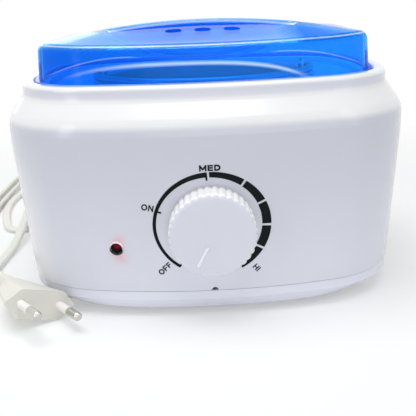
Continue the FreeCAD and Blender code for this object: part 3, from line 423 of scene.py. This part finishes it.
class Finish(Nodes):  # one material, with what its patterns need
    def __init__(self, name):
        self.material = bpy.data.materials.new(name)
        super().__init__(self.material)
        self.place = self.node("TexCoord", output="Object")

    def where(self, axis):
        # the surface's own x, y or z, in mm
        return self.place.axis(axis) * (1 / mm)

    def facing(self, axis):
        # how far the surface faces along its own x, y or z, from -1 to 1
        return self.node("TexCoord", output="Normal").axis(axis)

    def noise(self, size, detail=3, rough=0.5):
        # size is that of the largest features, in mm
        inputs = {"Vector": self.place, "Scale": 1 / (size * mm), "Detail": detail, "Roughness": rough}
        return self.node("TexNoise", {}, inputs)

    def mix(self, factor, first, second):
        settings = {"data_type": "RGBA", "blend_type": "MIX"}
        return self.node("Mix", settings, {0: factor, 6: first, 7: second}, output=2)

    def bump(self, height, depth=1):
        # height runs from 0 to 1 over a depth in mm, or is itself in mm where no depth is given
        return self.node("Bump", {}, {"Height": height, "Distance": depth * mm, "Strength": 1})

    def distance(self, point, scale=(1, 1, 1)):
        # how far the surface is from a point, in mm, with each axis weighed
        spot = tuple(value * mm for value in point)
        away = self.node("VectorMath", {"operation": "SUBTRACT"}, {0: self.place, 1: spot})
        away = self.node("VectorMath", {"operation": "MULTIPLY"}, {0: away, 1: scale})
        return self.node("VectorMath", {"operation": "LENGTH"}, {0: away}, output="Value") * (1 / mm)

    def solid(self, inputs):
        return self.node("BsdfPrincipled", {}, inputs)

    def done(self, shader):
        self.node("OutputMaterial", {}, {"Surface": shader})
        return self.material


# the glossy casing plastic, with a soft orange peel and a finer grain; sizes in mm
casingFinish = {
    "color": (0.725, 0.742, 0.825),
    "shade": (0.69, 0.708, 0.80),
    "cloudSize": 60,
    "palest": 0.95,
    "roughness": 0.2,
    "smear": 0.06,
    "smearSize": 25,
    "gloss": 0.35,
    "glossBlur": 0.06,
    "bend": 1.5,
    "peel": 9,
    "peelDepth": 0.006,
    "grain": 0.5,
    "grainDepth": 0.0008,
    # painted light: how much brighter than the deck the base and the knob are painted, as lighter copies of
    # the one plastic
    "basePaintedBright": 1.15,
    "knobPaintedBright": 1.02,
}

# the outer shell's painted light and shade: lighter low down and darker up to the shoulder, a painted
# highlight on its left side, lighter where it faces up, and a painted red glow round the lamp; each sets in
# at the first height or facing of a pair and is full at the second; heights are in mm, and a facing is from
# -1 to 1
shellPaintedLight = {
    # painted light low on the front, and painted shade darkening it up to the shoulder
    "low": (0.745, 0.763, 0.852),
    "under": (0.60, 0.618, 0.695),
    "underHeight": (20, 82),
    "paintedLightHeight": (93, 87),
    "paintedLightShare": 0.8,  # the least of them that shows through the clouds
    # a painted highlight down its left side
    "left": (0.86, 0.865, 0.90),
    "leftFacing": (-0.58, -0.9133),
    "leftHeight": (82, 43.25),
    # painted light where it faces up
    "shoulderLight": (0.815, 0.822, 0.84),
    "shoulderLightFacing": (0.18, 0.38),
    # a painted red glow of the lamp on the plastic: a place and a reach in mm, and how strongly
    "glow": (0.93, 0.36, 0.42),
    "paintedGlows": [((-40.5, -70, 37.2), 4.8, 1.5), ((-40.2, -70, 29.6), 6, 0.9), ((-41.2, -70, 33.5), 11, 0.3)],
    "paintedGlowScale": (1, 0.3, 1),
    "paintedGlowGrain": 3,
}

# painted light: the knob's fluted side is painted paler than its face
knobSidePaintedLight = {
    "side": (0.93, 0.93, 0.93),
    "sideLightFacing": (-0.75, -0.4167),
}


def casingPlastic(name, look, paintedBright=1, paintLight=None):
    finish = Finish(name)
    shade, color = (
        # painted light: a lighter copy of the plastic for the base and the knob
        tuple(min(look["palest"], value * paintedBright) for value in look[part]) for part in ("shade", "color")
    )
    color = finish.mix(finish.noise(look["cloudSize"], detail=2), shade, color)
    if paintLight:
        color = paintLight(finish, color)
    peel = finish.noise(look["peel"], detail=1) * look["peelDepth"]
    return finish.done(finish.solid({
        "Base Color": color,
        "Roughness": look["roughness"] + look["smear"] * finish.noise(look["smearSize"], detail=4),
        "Coat Weight": look["gloss"],
        "Coat Roughness": look["glossBlur"],
        "IOR": look["bend"],
        "Normal": finish.bump(peel + finish.noise(look["grain"]) * look["grainDepth"]),
    }))


# painted light and shade on the outer shell, by its height and facing, and a painted red glow round the lamp
def paintShellLight(finish, color):
    look = shellPaintedLight
    high = finish.where("Z")
    cloud = finish.noise(casingFinish["cloudSize"], detail=2)
    # painted shade up the front towards the shoulder, over painted light low down
    body = high.over(*look["paintedLightHeight"]) * (look["paintedLightShare"] + (1 - look["paintedLightShare"]) * cloud)
    color = finish.mix(body, color, finish.mix(high.over(*look["underHeight"]), look["low"], look["under"]))
    # painted highlight on the left side
    left = finish.facing("X").over(*look["leftFacing"]) * high.over(*look["leftHeight"])
    color = finish.mix(left, color, look["left"])
    # painted light on what faces up
    color = finish.mix(finish.facing("Z").over(*look["shoulderLightFacing"]), color, look["shoulderLight"])
    # painted red glow of the lamp
    for place, reach, strength in look["paintedGlows"]:
        near = finish.distance(place, look["paintedGlowScale"]).over(reach, 0)
        color = finish.mix(near * near * finish.noise(look["paintedGlowGrain"]) * strength, color, look["glow"])
    return color


def paintKnobSideLight(finish, color):
    # painted light on its side all round, but not on its face
    return finish.mix(finish.facing("Y").over(*knobSidePaintedLight["sideLightFacing"]), color, knobSidePaintedLight["side"])


# the clear lid: its thin walls hardly bend what is behind them, and a thin gloss does the mirroring
lidFinish = {
    # painted light and shade in its blue: deeper at the left, paler at the right, and paler on the roof with
    # a darker right end
    "leftColor": (0.006, 0.34, 0.87),
    "rightLightColor": (0.05, 0.50, 0.98),
    "roofLightColor": (0.03, 0.62, 0.98),
    "roofEndShadeColor": (0.0, 0.36, 0.84),
    "tintWidth": 120,
    "tintCloud": 0.2,
    "tintCloudSize": 40,
    "shadow": (0.12, 0.5, 1.0),
    "roughness": 0.015,
    "smear": 0.012,
    "smearSize": 12,
    "clear": 0.86,
    "bend": 1.02,
    "wallGloss": 0.16,
    "roofGloss": 0.55,
    "glossBlur": 0.07,
    "roofFacing": (0.3, 0.8),
    "dullShadedFrom": (32, 44),  # the gloss of its roof fades towards the right end
    "ripple": 30,
    "rippleDepth": 0.02,
    # the colour and roughness of the painted highlight
    "highlight": (0.78, 0.9, 1.0),
    "highlightRoughness": 0.1,
    "highlightSmear": 0.05,
    "highlightSmearSize": 6,
    # a painted highlight along the rounded edge of its roof
    "highlightEdgeFacing": 0.8,
    "highlightEdgeReach": 1 / 9,
    "highlightEdgeShare": 0.6,
    # painted highlights in lines on its front: each bows down from its top, and fades where its ends say
    "highlightFrontFacing": (0, -0.25),
    "potHighlightLine": {
        "strength": 0.6, "half": 1.2, "top": 110.9, "middle": -12, "bow": 0.0009, "droop": 0.00000055,
        "ends": [(-62, -28), (46, 34)],
    },
    "sideHighlightLine": {
        "strength": 0.22, "half": 0.45, "top": 114.1, "middle": 33, "bow": 0.006, "droop": 0,
        "ends": [(26, 32), (72, 64)],
    },
    "ridgeHighlightLine": {
        "strength": 0.75, "half": 0.9, "top": 125.3, "middle": 0, "bow": 0.00155, "droop": 0, "ends": [],
    },
    "ridgeHighlightDepth": (-6, -3),  # keeps the ridge's line off the roof in front of it
}


def paintedHighlightLine(finish, along, line):
    # a painted highlight along a bowed line; along is where the surface is along the line, in mm
    out = (along - line["middle"]) * (along - line["middle"])
    height = line["top"] - out * line["bow"] - out * out * line["droop"]
    shown = abs(finish.where("Z") - height).over(line["half"], 0) * line["strength"]
    for start, end in line["ends"]:
        shown = shown * along.over(start, end)
    return shown


def clearPlastic(name, look):
    finish = Finish(name)
    across = finish.where("X")
    up = finish.facing("Z")
    roof = up.over(*look["roofFacing"])

    highlightLines = paintedHighlightLine(finish, across, look["potHighlightLine"]) + paintedHighlightLine(finish, abs(across), look["sideHighlightLine"])
    ridgeHighlight = paintedHighlightLine(finish, across, look["ridgeHighlightLine"]) * finish.where("Y").over(*look["ridgeHighlightDepth"])
    highlightLines = (highlightLines + ridgeHighlight) * finish.facing("Y").over(*look["highlightFrontFacing"])
    edge = abs(up - look["highlightEdgeFacing"]).over(look["highlightEdgeReach"], 0) * look["highlightEdgeShare"]

    # painted shade on the roof's right end, where its gloss also fades
    dullShadedEnd = across.over(*look["dullShadedFrom"])
    gloss = look["wallGloss"] * (1 - roof) + look["roofGloss"] * roof * (1 - dullShadedEnd)
    cloud = look["tintCloud"] * (finish.noise(look["tintCloudSize"], detail=1) - 0.5)
    # painted light and shade: the walls' blue runs from deeper at the left to paler at the right
    tint = (across / look["tintWidth"] + 0.5 + cloud).clamped()
    walls = finish.mix(tint, look["leftColor"], look["rightLightColor"])
    body = finish.solid({
        "Base Color": finish.mix(roof, walls, finish.mix(dullShadedEnd, look["roofLightColor"], look["roofEndShadeColor"])),
        "Roughness": look["roughness"] + look["smear"] * finish.noise(look["smearSize"]),
        "Transmission Weight": look["clear"],
        "IOR": look["bend"],
        "Coat Weight": gloss,
        "Coat Roughness": look["glossBlur"],
        "Normal": finish.bump(finish.noise(look["ripple"], detail=1), look["rippleDepth"]),
    })
    # the painted highlight, laid over the lid's edge and its lines
    paintedHighlight = finish.solid({
        "Base Color": look["highlight"],
        "Roughness": look["highlightRoughness"] + look["highlightSmear"] * finish.noise(look["highlightSmearSize"]),
        "Coat Weight": 1.0,
    })
    body = finish.node("MixShader", {}, {0: (edge + highlightLines).clamped(), 1: body, 2: paintedHighlight})
    through = finish.node("BsdfTransparent", {}, {"Color": look["shadow"]})
    shadowRay = finish.node("LightPath", output="Is Shadow Ray")
    return finish.done(finish.node("MixShader", {}, {0: shadowRay, 1: body, 2: through}))


# metals: sizes in mm; the spun pot also has the fine rings of its spinning
metalMarks = {
    "size": 3,
    "dimmed": 0.82,
    "smear": 0.14,
    "grain": 0.8,
    "grainDepth": 0.004,
}
metalFinishes = {
    "spunAluminium": {"color": (0.80, 0.81, 0.82), "roughness": 0.26, "ringPitch": 0.55, "ringDepth": 0.012},
    "castAluminium": {"color": (0.62, 0.63, 0.64), "roughness": 0.42},
    "platedSteel": {"color": (0.66, 0.66, 0.65), "roughness": 0.28},
    "screwSteel": {"color": (0.52, 0.53, 0.55), "roughness": 0.33},
    "pinNickel": {"color": (0.66, 0.64, 0.59), "roughness": 0.16},
    "brass": {"color": (0.72, 0.55, 0.26), "roughness": 0.3},
}
potLow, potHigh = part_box("wax_pot")
potMiddle = (0, (potLow[1] + potHigh[1]) / 2 / mm, 0)


def metal(name, look):
    finish = Finish(name)
    marks = finish.noise(metalMarks["size"], detail=5, rough=0.65)
    height = finish.noise(metalMarks["grain"], detail=4) * metalMarks["grainDepth"]
    if "ringPitch" in look:
        rings = finish.distance(potMiddle, (1, 1, 0)) * (math.tau / look["ringPitch"])
        height = height + rings.sine() * look["ringDepth"]
    dimmed = tuple(value * metalMarks["dimmed"] for value in look["color"])
    return finish.done(finish.solid({
        "Base Color": finish.mix(marks, look["color"], dimmed),
        "Metallic": 1.0,
        "Roughness": look["roughness"] + metalMarks["smear"] * marks,
        "Normal": finish.bump(height),
    }))


# plain mouldings, rubber, felt and wire jackets: size is that of the grain, and depth its depth, in mm
softMarks = {
    "patches": 4,  # how much larger than the grain the worn patches are
    "smears": 2,
    "smear": 0.12,
    "shine": 0.5,
}
softFinishes = {
    "leadPlastic": {
        "color": (0.84, 0.84, 0.785), "worn": (0.74, 0.74, 0.675),
        "roughness": 0.42, "size": 5, "depth": 0.02,
    },
    "plugPlastic": {
        "color": (0.80, 0.80, 0.73), "worn": (0.72, 0.72, 0.65),
        "roughness": 0.4, "size": 4, "depth": 0.015,
    },
    "sleevePlastic": {
        "color": (0.90, 0.90, 0.87), "worn": (0.82, 0.82, 0.79),
        "roughness": 0.35, "size": 3, "depth": 0.008,
    },
    "pointerWhite": {
        "color": (0.93, 0.945, 1.0), "worn": (0.88, 0.895, 0.95),
        "roughness": 0.25, "size": 3, "depth": 0.005,
    },
    "darkMoulding": {
        "color": (0.055, 0.05, 0.048), "worn": (0.1, 0.09, 0.085),
        "roughness": 0.45, "size": 2, "depth": 0.02,
    },
    "footRubber": {
        "color": (0.42, 0.43, 0.45), "worn": (0.34, 0.35, 0.37),
        "roughness": 0.75, "size": 1.2, "depth": 0.05,
    },
    "glassFelt": {
        "color": (0.74, 0.72, 0.66), "worn": (0.58, 0.56, 0.5),
        "roughness": 0.9, "size": 0.9, "depth": 0.35,
    },
    "heaterMica": {
        "color": (0.42, 0.35, 0.24), "worn": (0.28, 0.22, 0.15),
        "roughness": 0.5, "size": 2.2, "depth": 0.08,
    },
    "brownWire": {
        "color": (0.16, 0.07, 0.035), "worn": (0.22, 0.1, 0.05),
        "roughness": 0.4, "size": 3, "depth": 0.02,
    },
    "redWire": {
        "color": (0.5, 0.03, 0.03), "worn": (0.38, 0.03, 0.03),
        "roughness": 0.4, "size": 3, "depth": 0.02,
    },
    "paleWire": {
        "color": (0.78, 0.78, 0.76), "worn": (0.62, 0.62, 0.6),
        "roughness": 0.6, "size": 0.8, "depth": 0.05,
    },
    "circuitBoard": {
        "color": (0.36, 0.25, 0.12), "worn": (0.28, 0.19, 0.09),
        "roughness": 0.5, "size": 1, "depth": 0.02,
    },
    "printBlack": {
        "color": (0.003, 0.006, 0.007), "worn": (0.006, 0.010, 0.011),
        "roughness": 0.38, "size": 2, "depth": 0.003, "shine": 0.1,
    },
}


def moulding(name, look):
    finish = Finish(name)
    size = look["size"]
    worn = finish.noise(size * softMarks["patches"], detail=4)
    return finish.done(finish.solid({
        "Base Color": finish.mix(worn, look["worn"], look["color"]),
        "Roughness": look["roughness"] + softMarks["smear"] * finish.noise(size * softMarks["smears"]),
        "Specular IOR Level": look.get("shine", softMarks["shine"]),
        "Normal": finish.bump(finish.noise(size), look["depth"]),
    }))


# the unlit red lens: nearly black, with painted light in red round one place near its top, and a faint
# painted red glow; places and sizes in mm
lampFinish = {
    "color": (0.50, 0.008, 0.025),
    "dark": (0.003, 0.001, 0.002),
    "lit": (-41.2, -69.9, 36.3),
    "reach": 2.9,
    "gain": 2,
    "grain": 1,
    "roughness": 0.06,
    "smear": 0.05,
    "shine": 0.06,
    "glow": (1.0, 0.05, 0.08),
    "strength": 0.003,
}


def lampRed(name, look):
    finish = Finish(name)
    # painted light: red where light falls into the lens near its top
    near = finish.distance(look["lit"]).over(look["reach"], 0)
    lit = (near * look["gain"] * finish.noise(look["grain"])).clamped()
    return finish.done(finish.solid({
        "Base Color": finish.mix(lit, look["dark"], look["color"]),
        "Roughness": look["roughness"] + look["smear"] * finish.noise(look["grain"]),
        "Specular IOR Level": look["shine"],
        # a faint painted red glow
        "Emission Color": look["glow"],
        "Emission Strength": look["strength"],
    }))


# the lamp's white ring, with a painted shade on its lower left side; places and sizes in mm
bezelFinish = {
    "color": (0.86, 0.86, 0.88),
    "dark": (0.02, 0.02, 0.025),
    "middle": (-42.0, -72, 32.9),
    "shadeWithin": (3.6, 2.6),
    "roughness": 0.18,
    "smear": 0.06,
    "smearSize": 3,
    "peel": 4,
    "peelDepth": 0.006,
}


def ringPlastic(name, look):
    finish = Finish(name)
    # painted shade on the ring's lower left side
    dark = finish.distance(look["middle"], (1, 0, 1)).over(*look["shadeWithin"])
    return finish.done(finish.solid({
        "Base Color": finish.mix(dark, look["color"], look["dark"]),
        "Roughness": look["roughness"] + look["smear"] * finish.noise(look["smearSize"]),
        "Normal": finish.bump(finish.noise(look["peel"]), look["peelDepth"]),
    }))


def dress(material, *names):
    for name in names:
        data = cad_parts[name].data
        data.materials.clear()
        data.materials.append(material)


metals = {name: metal(name, look) for name, look in metalFinishes.items()}
softs = {name: moulding(name, look) for name, look in softFinishes.items()}
dress(casingPlastic("casingPlastic", casingFinish, paintLight=paintShellLight), "upper_housing")
dress(casingPlastic("innerPlastic", casingFinish), "inner_deck", "dial_knob")
dress(casingPlastic("basePlastic", casingFinish, casingFinish["basePaintedBright"]), "base_cover")
knobPlastic = casingPlastic("knobPlastic", casingFinish, casingFinish["knobPaintedBright"], paintKnobSideLight)
knobPiece.data.materials.append(knobPlastic)
pointerPiece.data.materials.append(softs["pointerWhite"])
dress(clearPlastic("clearBlue", lidFinish), "lid")
dress(lampRed("lampRed", lampFinish), "indicator_lens")
dress(ringPlastic("ringPlastic", bezelFinish), "lamp_bezel")
dress(metals["spunAluminium"], "wax_pot")
dress(metals["castAluminium"], "heating_well", "pot_ears", "ear_rivets")
dress(metals["platedSteel"], "bail_handle", "clamp_strap", "fuse_clip", "thermal_fuse")
dress(metals["screwSteel"], "base_screws", "deck_screws", "well_screws", "clamp_screws", "strap_screw")
dress(metals["pinNickel"], "plug_pins")
dress(metals["brass"], "thermostat_nut", "thermostat_shaft")
dress(softs["leadPlastic"], "strain_relief", "cord_tail")
leadPiece.data.materials.append(softs["leadPlastic"])
dress(softs["plugPlastic"], "plug_body")
dress(softs["sleevePlastic"], "plug_sleeves")
dress(softs["darkMoulding"], "thermostat_body", "cord_clamp", "terminal_block")
dress(softs["footRubber"], "foot_front_left", "foot_front_right", "foot_rear_left", "foot_rear_right")
dress(softs["glassFelt"], "insulation_sleeve")
dress(softs["heaterMica"], "heater_band")
dress(softs["circuitBoard"], "lamp_board")
dress(softs["brownWire"], "mains_wires")
dress(softs["redWire"], "lamp_wires")
dress(softs["paleWire"], "thermostat_wire", "fuse_wire", "band_wire", "return_wire")
print("finishes made")


def oval(width, steps=16):
    # a letter's round stroke, on a square of side 1
    turns = [math.tau * step / steps for step in range(steps + 1)]
    return [(width / 2 * (1 - math.sin(turn)), 0.5 + math.cos(turn) / 2) for turn in turns]


# the printed dial round the knob: sizes in mm, turns in degrees
dial = {
    "middle": (0, 44.1),
    "outer": 25.4,
    "squash": 0.936,
    "proud": 0.07,
    "thick": 0.12,
    "step": 3,
    # each band runs from one angle to another and widens from one width to another
    "bands": [
        (234.4, 162.5, 1.35, 1.5), (162.5, 93.7, 1.5, 2.4), (91.3, 56.2, 2.5, 3.1), (53.7, 26.4, 3.2, 3.7),
        (24, -1.4, 3.8, 4.0), (-4.2, -29, 4.0, 4.0), (-31.4, -60.5, 4.0, 4.1),
    ],
    # each tick stands inside its band: its angle, its reach in from the rim and its width
    "ticks": [(233.8, 3.2, 0.9), (162.5, 3.0, 0.9), (94.3, 3.9, 0.9)],
    "tickInset": 0.2,
    # each word: its middle across and up, its turn, the height of its capitals, its stretch and its stroke
    "words": {
        "MED": (-0.15, 69.6, 0, 2.6, 1.42, 0.66),
        "ON": (-27.1, 52.8, -12, 2.8, 1.05, 0.54),
        "OFF": (-21.2, 24.4, 44, 2.6, 1.08, 0.52),
        "HI": (18.8, 23.0, -48, 2.6, 1.12, 0.52),
    },
    "between": 0.4,
    # each letter: its width and its strokes, on a square of side 1
    "letters": {
        "M": (0.86, [[(0, 0), (0, 1), (0.43, 0.2), (0.86, 1), (0.86, 0)]]),
        "E": (0.6, [[(0.6, 0), (0, 0), (0, 1), (0.6, 1)], [(0, 0.52), (0.55, 0.52)]]),
        "D": (0.7, [[
            (0, 0), (0, 1), (0.32, 1), (0.55, 0.9), (0.68, 0.68),
            (0.7, 0.5), (0.68, 0.32), (0.55, 0.1), (0.32, 0), (0, 0),
        ]]),
        "O": (0.86, [oval(0.86)]),
        "N": (0.7, [[(0, 0), (0, 1), (0.7, 0), (0.7, 1)]]),
        "F": (0.58, [[(0, 0), (0, 1), (0.58, 1)], [(0, 0.5), (0.5, 0.5)]]),
        "H": (0.66, [[(0, 0), (0, 1)], [(0.66, 0), (0.66, 1)], [(0, 0.5), (0.66, 0.5)]]),
        "I": (0, [[(0, 0), (0, 1)]]),
    },
}


def printShape(name, flat, faces):
    mesh = makeMesh(name, [onFront(x, z, dial["proud"]) for x, z in flat], faces, smooth=False)
    for face in mesh.polygons:
        if face.normal.y > 0:
            face.flip()
    mesh.materials.append(softs["printBlack"])
    obj = addObject(name, mesh, "housing")
    thick = obj.modifiers.new("thickness", "SOLIDIFY")
    thick.thickness = dial["thick"] * mm
    thick.offset = -1


def onDial(angle, radius):
    turn = math.radians(angle)
    x, z = dial["middle"]
    return x + radius * math.cos(turn), z + radius * dial["squash"] * math.sin(turn)


def makeDial(sizes):
    outer = sizes["outer"]
    for number, (begin, end, first, last) in enumerate(sizes["bands"], 1):
        flat = []
        count = max(4, round(abs(end - begin) / sizes["step"]))
        for step in range(count + 1):
            share = step / count
            angle = begin + (end - begin) * share
            width = first + (last - first) * share
            flat += [onDial(angle, outer - width), onDial(angle, outer)]
        faces = [(2 * step, 2 * step + 1, 2 * step + 3, 2 * step + 2) for step in range(count)]
        printShape(f"dial_band_{number}", flat, faces)
    for number, (angle, reach, width) in enumerate(sizes["ticks"], 1):
        half = math.degrees(width / 2 / outer)
        inner, tip = outer - reach, outer - sizes["tickInset"]
        corners = ((-half, inner), (half, inner), (half, tip), (-half, tip))
        flat = [onDial(angle + turn, radius) for turn, radius in corners]
        printShape(f"dial_tick_{number}", flat, [(0, 1, 2, 3)])


def strokeBar(first, last, stroke):
    # the corners of a flat bar, half a stroke longer than its line at both ends
    along = (last - first).normalized() * (stroke / 2)
    side = Vector((-along.y, along.x))
    return first - along - side, last + along - side, last + along + side, first - along + side


def makeWord(word, x, z, turn, height, stretch, stroke):
    letters = [dial["letters"][letter] for letter in word]
    tall = height - stroke
    wide = sum(width for width, _ in letters) + dial["between"] * (len(word) - 1)
    cos = math.cos(math.radians(turn))
    sin = math.sin(math.radians(turn))
    flat = []
    start = -wide / 2
    for width, strokes in letters:
        for line in strokes:
            spots = [Vector(((start + u) * tall * stretch, (v - 0.5) * tall)) for u, v in line]
            for first, last in zip(spots, spots[1:]):
                for spot in strokeBar(first, last, stroke):
                    flat.append((x + spot.x * cos - spot.y * sin, z + spot.x * sin + spot.y * cos))
        start += width + dial["between"]
    printShape(f"word_{word}", flat, [tuple(range(a, a + 4)) for a in range(0, len(flat), 4)])


makeDial(dial)
for word, spot in dial["words"].items():
    makeWord(word, *spot)
print("dial printed")

# a plain pale floor, a white surround and soft lamps; places and sizes in m, power in W
stage = {
    "floorSize": 6,
    "floorColor": (0.90, 0.905, 0.92),
    "nearShadow": 0.16,
    "farShadow": 0.42,
    "shadowKept": 0.6,
    "white": (1, 1, 1),
    "world": 0.33,
    "lamps": {
        "overhead": {"place": (-0.1, -0.12, 1.0), "aim": (0, 0, 0.08), "size": (1.0, 0.7), "power": 8.2},
        "lowFill": {"place": (0.2, -1.1, 0.16), "aim": (0, 0, 0.03), "size": (1.2, 0.3), "power": 1.1},
        "leftStrip": {
            "place": (-0.62, -0.55, 0.30), "aim": (-0.05, 0, 0.06), "size": (0.16, 0.7), "power": 0.8,
        },
        "rightStrip": {
            "place": (0.62, -0.45, 0.36), "aim": (0.05, 0, 0.07), "size": (0.16, 0.7), "power": 0.45,
        },
        "backLeft": {
            "place": (-0.44, 0.95, 0.22), "aim": (-0.06, -0.02, 0.12), "size": (0.5, 0.18), "power": 0.17,
        },
    },
}


def makeFloor(sizes):
    half = sizes["floorSize"] / 2
    corners = [(-half, -half, 0), (half, -half, 0), (half, half, 0), (-half, half, 0)]
    obj = bpy.data.objects.new("floor", makeMesh("floor", corners, [(0, 1, 2, 3)], smooth=False))
    bpy.context.collection.objects.link(obj)
    finish = Finish("floorWhite")
    away = finish.distance((0, 0, 0), (1, 1, 0)) * mm
    fade = away.over(sizes["nearShadow"], sizes["farShadow"])
    white = finish.seen() * (1 - sizes["shadowKept"] * (1 - fade))
    matte = finish.node("BsdfDiffuse", {}, {"Color": sizes["floorColor"]})
    glow = finish.node("Emission", {}, {"Color": sizes["white"], "Strength": 1})
    obj.data.materials.append(finish.done(finish.node("MixShader", {}, {0: white, 1: matte, 2: glow})))


def makeWorld(sizes):
    world = bpy.data.worlds.new("surround")
    bpy.context.scene.world = world
    nodes = Nodes(world)
    dim = nodes.node("Background", {}, {"Color": sizes["white"], "Strength": sizes["world"]})
    white = nodes.node("Background", {}, {"Color": sizes["white"], "Strength": 1})
    shown = nodes.node("MixShader", {}, {0: nodes.seen(), 1: dim, 2: white})
    nodes.node("OutputWorld", {}, {"Surface": shown})


def makeLamp(name, sizes):
    data = bpy.data.lights.new(name, "AREA")
    data.shape = "RECTANGLE"
    data.size, data.size_y = sizes["size"]
    data.energy = sizes["power"]
    obj = bpy.data.objects.new(name, data)
    place = Vector(sizes["place"])
    turn = (Vector(sizes["aim"]) - place).to_track_quat("-Z", "Y").to_matrix().to_4x4()
    obj.matrix_world = Matrix.Translation(place) @ turn
    bpy.context.collection.objects.link(obj)


makeFloor(stage)
makeWorld(stage)
for lampName, lamp in stage["lamps"].items():
    makeLamp(lampName, lamp)
bpy.context.scene.view_settings.view_transform = "Standard"
print("stage lit")
